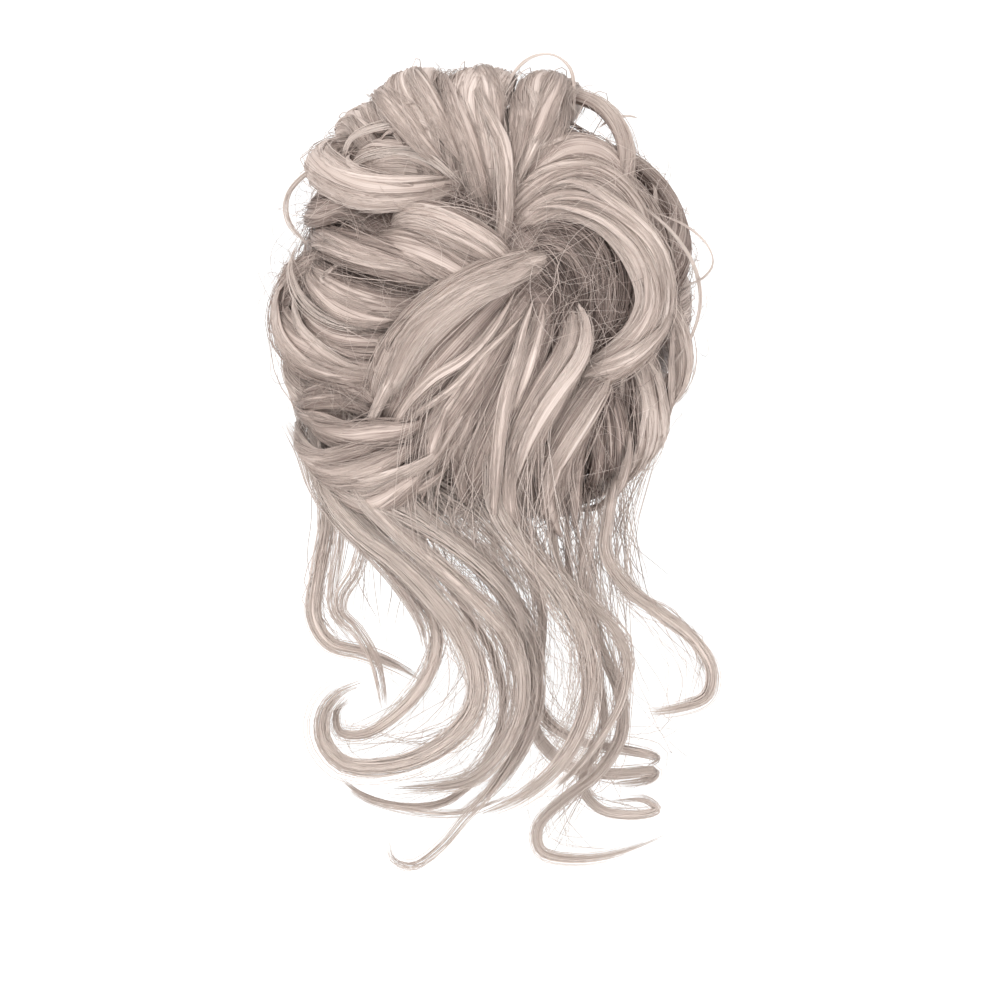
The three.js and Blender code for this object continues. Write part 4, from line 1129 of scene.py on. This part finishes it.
def veil(first, second, turned, count, steps, rng):
    """Hair that lies in the groove between two locks and over their edges."""
    if turned:
        second = {name: values[::-1] for name, values in second.items()}
    share = np.linspace(0, 1, steps)
    start, end = rng.uniform(0, 0.25, (2, count))
    t = start[:, None] + (1 - end - start)[:, None] * share
    mix = rng.uniform(-0.1, 1.1, (count, 1)) + rng.normal(0, 0.25, (count, 1)) * (t - 0.5)
    height = rng.uniform(0.3, 1.0, (count, 1))
    ones, out_one = follow(first, t, 0 * t, height + 0 * t)
    others, out_two = follow(second, t, 0 * t, height + 0 * t)
    mix = mix[..., None]
    return ones * (1 - mix) + others * mix, unit(out_one * (1 - mix) + out_two * mix)


def knot_surface():
    """The outer surface of the solids of hair, to lay fine locks on."""
    points, faces = [], []
    for name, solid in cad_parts.items():
        if name == "elastic_band":
            continue
        first = len(points)
        points += [vertex.co.copy() for vertex in solid.data.vertices]
        faces += [[first + i for i in face.vertices] for face in solid.data.polygons]
    return BVHTree.FromPolygons(points, faces)


def neighbours(values, reach):
    """The values and those up to reach places before and after them, a row for each shift."""
    edged = np.pad(values, reach, mode="edge")
    return np.array([edged[k:k + len(values)] for k in range(2 * reach + 1)])


def laid_frames(surface, stations, width_mm, rings):
    """The frames of a fine lock that lies on the knot, its ends tucked in."""
    line = spline(stations, rings)
    beside = unit(np.gradient(line, axis=0))[:, ::-1] * (1, -1) * width_mm * MM / 3 / HALF_WIDTH
    under = []
    for shift in (0, -1, 1):
        rays = way_to(*(line + shift * beside).T) * SIZE
        under.append([share_at(surface, ray) for ray in rays])
    share = np.maximum(under[0], (np.array(under[1]) + under[2]) / 2)
    share = neighbours(share, 2).max(axis=0)
    share = neighbours(share, 4).mean(axis=0)
    t = np.linspace(0, 1, rings)
    tuck = 1 - np.minimum(1, np.minimum(t, 1 - t) / 0.16)
    half = np.full(rings, width_mm * MM / 2) * (0.4 + 0.6 * np.sin(np.pi * t) ** 0.8)
    way = way_to(line[:, 0], line[:, 1])
    facing = unit(way / SIZE)
    lift = 0.25 * half + (0.5 - 3 * tuck**2) * MM
    middle = CENTRE + way * SIZE * share[:, None] + facing * lift[:, None]
    return frames_along(middle, facing, half, half * FINE_LOCK_FLATNESS)


def share_at(surface, ray):
    """How far out the surface lies along a ray from the knot's middle."""
    ray = Vector(ray)
    hit = surface.ray_cast(Vector(CENTRE) + ray * 1.4, -ray)[0]
    if hit is None:
        return CORE_SHARE
    return min((hit - Vector(CENTRE)).length / ray.length, LAID_LIMIT)


def fine_locks(material):
    rng = np.random.default_rng(305)
    surface = knot_surface()
    hair = Hair("fine_locks_of_the_knot")
    for width_mm, tone, stations in FINE_LOCKS:
        frames = laid_frames(surface, stations, width_mm, FINE_LOCK_RINGS)
        bulge = np.sin(np.pi * np.linspace(0, 1, FINE_LOCK_RINGS))
        body = slimmed(frames, 0.9 * (0.04 + 0.96 * bulge) / (0.4 + 0.6 * bulge**0.8))
        hair.body(body, FINE_LOCK_SIDES, rng, tone - BODY_SHADE, 0.1)
        count = round(FINE_LOCK_STRANDS * width_mm**0.75)
        lines, out, shade = strands_over(
            frames, count, FINE_LOCK_STEPS, rng, arc=1.7, loose=0.2, wander=0.22, deep=0.9, ragged=0.24
        )
        hair.strands(lines, out, FINE_RADIUS, rng, tone + 0.5 * shade, 0.07)
    hair.make(material)


def over_knot(across, up, crest):
    way = way_to(across, up)
    return CENTRE + way * SIZE * crest[..., None], unit(way / SIZE)


def web(middle, radius, count, steps, rng):
    """Fine hairs that cross a gap every way."""
    turn = rng.uniform(0, 2 * np.pi, (count, 1))
    far = turn + np.pi + rng.normal(0, 0.7, (count, 1))
    share = np.linspace(0, 1, steps)
    bow = rng.normal(0, 0.35, (count, 1)) * np.sin(np.pi * share)
    across = middle[0] + radius * (np.cos(turn) * (1 - share) + np.cos(far) * share - np.sin(turn) * bow)
    up = middle[1] + radius * (np.sin(turn) * (1 - share) + np.sin(far) * share + np.cos(turn) * bow)
    crest = rng.uniform(0.93, 1.0, (count, 1)) - rng.uniform(0, 0.06, (count, 1)) * np.sin(np.pi * share)
    return over_knot(across, up, crest)


def halo(count, steps, rng):
    """Stray hairs that lift off the knot all round."""
    reach = np.sqrt(rng.uniform(0, 2.2, (count, 1)))
    turn = rng.uniform(0, 2 * np.pi, (count, 1))
    heading = rng.uniform(0, 2 * np.pi, (count, 1))
    bend = rng.normal(0, 1.6, (count, 1))
    share = np.linspace(0, 1, steps)
    length = rng.uniform(0.15, 0.6, (count, 1))
    across = reach * np.cos(turn) + length * share * np.cos(heading + bend * share)
    up = reach * np.sin(turn) + length * share * np.sin(heading + bend * share)
    crest = 0.95 + rng.uniform(0.02, 0.1, (count, 1)) * np.sin(np.pi * (0.1 + 0.75 * share))
    return over_knot(across, up, crest)


def edge_hair(frames, count, steps, rng):
    """Fine hairs that part from a lock's edges."""
    share = np.linspace(0, 1, steps)
    start = rng.uniform(0.02, 0.6, (count, 1))
    t = start + rng.uniform(0.2, 0.4, (count, 1)) * share
    edge = rng.choice([-1, 1], (count, 1))
    part = rng.gamma(2, 0.13, (count, 1)) * share**1.5
    sideways = edge * (rng.uniform(0.75, 1.0, (count, 1)) + part)
    return follow(frames, t, sideways, rng.uniform(0, 0.7, (count, 1)) + 0.3 * share)


def end_hair(frames, at_end, count, steps, rng):
    """Hair that runs on past a lock's end and spreads over the mass."""
    last, before = (1, 0.9) if at_end else (0, 0.1)
    share = np.linspace(0, 1, steps)
    sideways = rng.uniform(-0.95, 0.95, (count, 1))
    t = last + (before - last) * np.linspace(2.4, 0.3, END_ON_LOCK) + 0 * sideways
    first, _ = follow(frames, t, sideways + 0 * t, 0.8 + 0 * t)
    way = (first - CENTRE) / SIZE
    heading = unit(way[:, -1] - way[:, -2])
    length = rng.uniform(6, 22, (count, 1)) * MM / HALF_WIDTH
    reach = (length * np.linspace(0.1, 1, steps - END_ON_LOCK))[..., None]
    drift = rng.normal(0, 0.3, (count, 1, 3)) * reach
    on = way[:, -1:] + heading[:, None] * reach + drift
    above = np.linalg.norm(way[:, -1:], axis=-1, keepdims=True) - CORE_SHARE
    sunk = CORE_SHARE + above * (1 - share[END_ON_LOCK:, None]) ** 2
    rest = CENTRE + unit(on) * np.maximum(sunk, CORE_SHARE + 0.01) * SIZE
    lines = np.concatenate([first, rest], axis=1)
    return lines, unit((lines - CENTRE) / SIZE**2)


def clear_of_seat(lines):
    """Which lines keep off the head and the pocket's mouth."""
    beside = np.linalg.norm(np.cross(lines, SEAT_AXIS), axis=-1)
    mouth = (beside < BAND_RADIUS + MOUTH_MARGIN) & (lines @ SEAT_AXIS < MOUTH_DEPTH)
    return (outside_head(lines) & ~mouth).all(axis=1)


def loose_knot_hair(locks, material):
    rng = np.random.default_rng(300)
    tones = {name: row["tone"] for name, row in lock_rows().items()}
    hair = Hair("end_hair_of_the_knot")
    for name, frames in locks.items():
        for at_end in (False, True):
            lines, out = end_hair(frames, at_end, END_HAIRS, END_HAIR_STEPS, rng)
            clear = clear_of_seat(lines)
            hair.strands(lines[clear], out[clear], STRAND_RADIUS * 0.8, rng, tones[name] - 0.04, 0.1)
    hair.make(material)
    hair = Hair("edge_hair_of_the_knot")
    for name, frames in locks.items():
        lines, out = edge_hair(frames, EDGE_HAIRS, EDGE_HAIR_STEPS, rng)
        hair.strands(lines, out, WISP_RADIUS, rng, tones[name] + 0.08, 0.1)
    hair.make(material)
    hair = Hair("veils_of_the_knot")
    for first, second, turned, count in VEILS:
        lines, out = veil(locks[first], locks[second], turned, count, VEIL_STEPS, rng)
        spread = LOCK_LOOKS.get(first, {}).get("spread", PLAIN_SPREAD)
        # Painted shade: the hair in the groove between two locks is darker than the first lock.
        hair.strands(lines, out, STRAND_RADIUS, rng, tones[first] - 0.08, spread)
    for count, width, crest, tone, route in UNDER_LOCKS:
        frames = lock_frames(route, width, 0.4, crest, LOCK_RINGS)
        lines, out, shade = strands_over(frames, count, LOCK_STRAND_STEPS, rng, gather=0.3)
        hair.strands(lines, out, STRAND_RADIUS, rng, tone + shade, LOOSE_SPREAD)
    hair.make(material)
    hair = Hair("stray_hair_of_the_knot")
    for middle, radius, count in PITS:
        lines, out = web(middle, radius, count, WEB_STEPS, rng)
        hair.strands(lines, out, WISP_RADIUS, rng, WEB_TONE, LOOSE_SPREAD)
    lines, out = halo(HALO_HAIRS, HALO_STEPS, rng)
    clear = outside_head(lines).all(axis=1)
    hair.strands(lines[clear], out[clear], WISP_RADIUS, rng, HALO_TONE, LOOSE_SPREAD)
    hair.make(material)


KNOT_WISPS = [  # thin loose locks on the knot: strands, width in mm and stations with their crests
    (14, 1.6, [
        (0.05, 0.84, 0.98), (0.1, 0.93, 1.04), (0.17, 0.96, 1.1), (0.26, 0.95, 1.13), (0.34, 0.92, 1.1),
        (0.38, 0.88, 1.02), (0.4, 0.8, 0.97),
    ]),
    (24, 3.0, [
        (-0.66, 0.6, 0.98), (-0.76, 0.58, 1.0), (-0.83, 0.5, 1.03), (-0.86, 0.42, 1.04),
        (-0.86, 0.33, 1.02), (-0.8, 0.24, 0.98),
    ]),
    (20, 2.4, [
        (0.7, 0.42, 0.98), (0.82, 0.3, 1.0), (0.9, 0.16, 1.02), (0.93, 0.02, 1.02), (0.92, -0.12, 1.0),
        (0.85, -0.28, 0.97),
    ]),
    (9, 1.2, [
        (0.74, 0.38, 1.0), (0.84, 0.32, 1.04), (0.91, 0.24, 1.07), (0.94, 0.16, 1.07),
        (0.92, 0.1, 1.04), (0.85, 0.06, 0.99),
    ]),
    (26, 4.5, [
        (-0.66, 0.62, 0.97), (-0.6, 0.7, 1.0), (-0.45, 0.75, 1.0), (-0.3, 0.74, 1.0), (-0.16, 0.62, 0.98),
    ]),
    (26, 4.5, [
        (-0.64, 0.52, 0.97), (-0.58, 0.6, 0.99), (-0.4, 0.64, 0.99), (-0.25, 0.6, 0.99), (-0.12, 0.5, 0.97),
    ]),
    (24, 5.0, [
        (-0.94, 0.3, 0.9), (-0.9, 0.14, 0.97), (-0.82, 0.0, 0.99), (-0.68, -0.1, 0.98), (-0.5, -0.13, 0.95),
    ]),
    (14, 1.5, [(0.5, 0.76, 0.98), (0.56, 0.8, 1.0), (0.62, 0.8, 1.04), (0.65, 0.78, 1.06)]),
]


def crested_frames(stations, width_mm, rings):
    """The frames of a thin lock whose stations are (across, up, crest)."""
    line = spline(stations, rings)
    way = way_to(line[:, 0], line[:, 1])
    middle = CENTRE + way * SIZE * line[:, 2:]
    half = np.full(rings, width_mm * MM / 2) * (0.4 + 0.6 * np.sin(np.pi * np.linspace(0, 1, rings)))
    return frames_along(middle, unit(way / SIZE), half, half * KNOT_WISP_FLATNESS)


FALL_WISPS = [  # thin curls below the knot: strands, width as a tendril's, and route
    (22, 0.9, [
        (-0.66, -0.2, 0.3), (-0.65, 0.0, 0.3), (-0.68, 0.15, 0.3), (-0.68, 0.22, 0.3), (-0.6, 0.3, 0.3),
    ]),
    (30, 1.0, [
        (-0.5, -0.1, 0.2), (-0.58, 0.1, 0.2), (-0.65, 0.18, 0.2), (-0.65, 0.23, 0.2), (-0.58, 0.28, 0.2),
        (-0.5, 0.37, 0.2), (-0.47, 0.45, 0.2), (-0.46, 0.52, 0.2),
    ]),
    (24, 0.8, [
        (0.0, -0.1, 0.4), (0.1, 0.15, 0.4), (0.17, 0.3, 0.4), (0.2, 0.45, 0.4), (0.17, 0.58, 0.4),
        (0.1, 0.68, 0.4), (0.0, 0.78, 0.4), (-0.1, 0.85, 0.4), (-0.2, 0.93, 0.4), (-0.33, 0.99, 0.4),
        (-0.42, 0.97, 0.4), (-0.44, 0.9, 0.4),
    ]),
    (20, 0.7, [
        (0.1, 0.78, 0.5), (-0.1, 0.83, 0.5), (-0.3, 0.83, 0.5), (-0.5, 0.8, 0.5), (-0.62, 0.76, 0.5),
    ]),
    (40, 1.5, [
        (-0.9, -0.35, 0.5), (-0.8, -0.27, 0.34), (-0.72, -0.19, 0.2), (-0.6, -0.13, 0.06),
        (-0.45, -0.09, -0.04), (-0.28, -0.03, -0.06), (-0.12, 0.04, 0.02), (0.02, 0.12, 0.1),
        (0.13, 0.22, 0.2), (0.18, 0.34, 0.3),
    ]),
    (34, 1.2, [
        (-0.9, -0.36, 0.5), (-0.82, -0.26, 0.4), (-0.76, -0.14, 0.32), (-0.66, -0.04, 0.28),
        (-0.52, 0.05, 0.22), (-0.4, 0.14, 0.2), (-0.3, 0.25, 0.2), (-0.26, 0.36, 0.25),
    ]),
    (64, 3.4, [
        (-0.62, -0.24, 0.24), (-0.44, -0.18, 0.16), (-0.25, -0.1, 0.14), (-0.08, -0.01, 0.16),
        (0.06, 0.08, 0.2), (0.16, 0.19, 0.26),
    ]),
    (56, 3.4, [
        (-0.4, -0.27, 0.1), (-0.2, -0.18, 0.08), (0.0, -0.09, 0.12), (0.13, 0.01, 0.16),
        (0.24, 0.13, 0.2), (0.32, 0.25, 0.24),
    ]),
    (22, 0.7, [
        (0.5, -0.1, 0.2), (0.45, 0.03, 0.2), (0.43, 0.12, 0.2), (0.43, 0.24, 0.25), (0.5, 0.34, 0.3),
    ]),
]


BRIDGES = [  # a lock whose hair runs on into a tendril, the tendril, strands
    ("fan_left_inner", "tendril_centre_left", 20),
    ("fan_middle", "tendril_centre", 24),
    ("fan_middle", "tendril_centre_left", 16),
    ("fan_right", "tendril_main", 30),
    ("fan_right", "tendril_centre", 20),
    ("ribbon_centre", "tendril_main", 30),
    ("ribbon_centre", "tendril_back_sweep", 16),
    ("right_low_sweep", "tendril_right_bow", 26),
    ("right_low_sweep", "tendril_main", 20),
    ("right_inner_fall", "tendril_low_curl", 24),
    ("right_inner_fall", "tendril_low_loop", 16),
    ("right_bottom_cup", "tendril_far_right", 26),
    ("right_bottom_cup", "tendril_right_bow", 12),
    ("lower_band", "tendril_hook_small", 20),
    ("lower_band", "tendril_under_hook", 16),
    ("lower_band", "tendril_centre", 20),
    ("left_low_corner", "tendril_ear", 20),
    ("left_low_corner", "tendril_hook_wide", 24),
]


def bridge(lock, tendril, count, steps, rng):
    """Hair that leaves a lock's surface near its end and joins a tendril."""
    across = rng.uniform(-1, 1, count)
    lines = []
    for a in across:
        leave = rng.uniform(0.4, 0.7)
        join = rng.uniform(0.22, 0.4)
        t = np.array([leave - 0.16, leave - 0.08, leave])
        on_lock, _ = follow(lock, t, np.full(3, 0.9 * a), np.full(3, 0.95))
        t = np.array([join, join + 0.1, join + 0.2, join + rng.uniform(0.3, 0.5)])
        spread = rng.normal(0, 0.7, 4) + a
        on_tendril, _ = follow(tendril, t, spread, rng.normal(0, 0.8, 4))
        lines.append(spline(np.concatenate([on_lock, on_tendril]), steps))
    facing = np.tile(VIEWER, (count, steps, 1))
    return np.array(lines), facing


def curtain(count, steps, rng):
    """Shaded hair that hangs from under the knot, behind the sweeps that feed the tendrils."""
    across = rng.uniform(-0.62, 0.62, count)
    top = rng.uniform(-0.3, -0.12, count)
    end = rng.uniform(0.02, 0.3, count)
    back = rng.uniform(0.3, 0.75, count)
    drift = rng.normal(0.08, 0.1, count)
    share = np.linspace(0, 1, steps)
    sway = rng.normal(0, 0.03, (count, 1)) * np.sin(share * 6 + rng.uniform(0, 6, (count, 1)))
    down = top[:, None] + (end - top)[:, None] * share
    over = across[:, None] + drift[:, None] * share**2 + sway
    depth = FALL_FRONT + back[:, None] * FALL_DEPTH + 0 * over
    place = np.stack([over * HALF_WIDTH, depth, FALL_TOP - down * FALL_LENGTH], -1)
    return CENTRE + place, np.tile(VIEWER, (count, steps, 1))


def cross_hair(tendrils, rng):
    """A stray hair that runs somewhere between two tendrils and sways."""
    one, other = rng.choice(list(tendrils), 2, replace=False)
    mix = rng.uniform(0, 1)
    line = tendrils[one]["middle"] * (1 - mix) + tendrils[other]["middle"] * mix
    stop = rng.uniform(0.45, 1.0)
    picks = np.linspace(rng.uniform(0.2, 0.42), stop, CROSS_STEPS) * (len(line) - 1)
    sway = np.clip(rng.normal(0, 3 * MM, (2, 3)), -CROSS_SWAY, CROSS_SWAY)
    share = np.linspace(0, 1, CROSS_STEPS)[:, None]
    return line[picks.astype(int)] + sway[0] * share + sway[1] * np.sin(2 * np.pi * share)


def wisps(locks, tendrils, material):
    """The thin locks that are too fine for solids of their own."""
    rng = np.random.default_rng(310)
    hair = Hair("wisps_of_the_knot")
    for count, width_mm, stations in KNOT_WISPS:
        frames = crested_frames(stations, width_mm, LOCK_RINGS)
        lines, out, shade = strands_over(
            frames, count, KNOT_WISP_STEPS, rng, arc=3, wander=0.3, deep=0.2, loose=0.08
        )
        hair.strands(lines, out, CURL_RADIUS, rng, WISP_TONE + shade, WISP_SPREAD)
    hair.make(material)
    hair = Hair("wisps_of_the_fall")
    for count, width, route in FALL_WISPS:
        frames = tendril_frames(route, width, 0.5, TENDRIL_RINGS)
        lines, out, shade = strands_over(
            frames, count, FALL_WISP_STEPS, rng, arc=3, wander=0.4, deep=0.2
        )
        hair.strands(lines, out, CURL_RADIUS, rng, WISP_TONE + shade, WISP_SPREAD)
    facing = np.tile(VIEWER, (1, CROSS_STEPS, 1))
    for _ in range(CROSS_HAIRS):
        line = cross_hair(tendrils, rng)
        hair.strands(line[None], facing, WISP_RADIUS, rng, CROSS_TONE, LOOSE_SPREAD)
    hair.make(material)
    hair = Hair("hair_into_the_fall")
    for lock, tendril, count in BRIDGES:
        lines, out = bridge(locks[lock], tendrils[tendril], count, BRIDGE_STEPS, rng)
        hair.strands(lines, out, BRIDGE_RADIUS, rng, BRIDGE_TONE, LOOSE_SPREAD)
    lines, out = curtain(CURTAIN_HAIRS, CURTAIN_STEPS, rng)
    hair.strands(lines, out, BRIDGE_RADIUS, rng, CURTAIN_TONE, LOOSE_SPREAD)
    hair.make(material)


# The room

def sky():
    bpy.context.scene.view_settings.view_transform = "Standard"
    world = bpy.data.worlds.new("studio")
    bpy.context.scene.world = world
    world.use_nodes = True
    background = world.node_tree.nodes["Background"]
    background.inputs["Color"].default_value = (1, 1, 1, 1)
    background.inputs["Strength"].default_value = SKY_STRENGTH


def room():
    """The floor, which bends up into a round wall."""
    pale = plain_material("pale_room", (0.86, 0.86, 0.86), ROOM_GLOW)
    bend = np.linspace(0, math.pi / 2, BEND_RINGS)
    reach = [*(ROOM_FLAT + ROOM_BEND * np.sin(bend)), ROOM_FLAT + ROOM_BEND]
    high = [*(ROOM_BEND * (1 - np.cos(bend))), ROOM_TOP]
    turn = np.arange(ROOM_SIDES) * 2 * np.pi / ROOM_SIDES
    corners = [(0, 0, FLOOR_HEIGHT)]
    corners += [(r * np.cos(a), r * np.sin(a), FLOOR_HEIGHT + z) for r, z in zip(reach, high) for a in turn]
    faces = [(0, 1 + k, 1 + (k + 1) % ROOM_SIDES) for k in range(ROOM_SIDES)]
    for ring in range(len(reach) - 1):
        base = 1 + ring * ROOM_SIDES
        for k in range(ROOM_SIDES):
            after = (k + 1) % ROOM_SIDES
            faces.append((base + k, base + ROOM_SIDES + k, base + ROOM_SIDES + after, base + after))
    mesh = bpy.data.meshes.new("floor_and_backdrop")
    mesh.from_pydata(corners, [], faces)
    mesh.shade_smooth()
    mesh.materials.append(pale)
    sheet = bpy.data.objects.new("floor_and_backdrop", mesh)
    bpy.context.scene.collection.objects.link(sheet)


def lamps():
    for name, place, power, size in LIGHTS:
        data = bpy.data.lights.new(name, "AREA")
        data.energy = power
        data.size = size
        lamp = bpy.data.objects.new(name, data)
        lamp.location = place
        lamp.rotation_euler = (CENTRE_POINT - Vector(place)).to_track_quat("-Z", "Y").to_euler()
        bpy.context.scene.collection.objects.link(lamp)


def camera():
    data = bpy.data.cameras.new("camera")
    data.sensor_width = CAMERA_SENSOR
    data.lens = CAMERA_LENS
    data.clip_start, data.clip_end = 0.1, 20
    view = bpy.data.objects.new("camera", data)
    view.location = CAMERA_PLACE
    view.rotation_euler = (math.radians(90), 0, 0)
    bpy.context.scene.collection.objects.link(view)
    bpy.context.scene.camera = view


camera()
sky()
room()
lamps()
combed = hair_material()
inner_mass(under_material(), combed)
elastic_band(elastic_material())
locks = frames_of_locks()
tendrils = frames_of_tendrils()
make_locks(locks, combed)
make_tendrils(tendrils, combed)
fine_locks(combed)
loose_knot_hair(locks, combed)
wisps(locks, tendrils, combed)
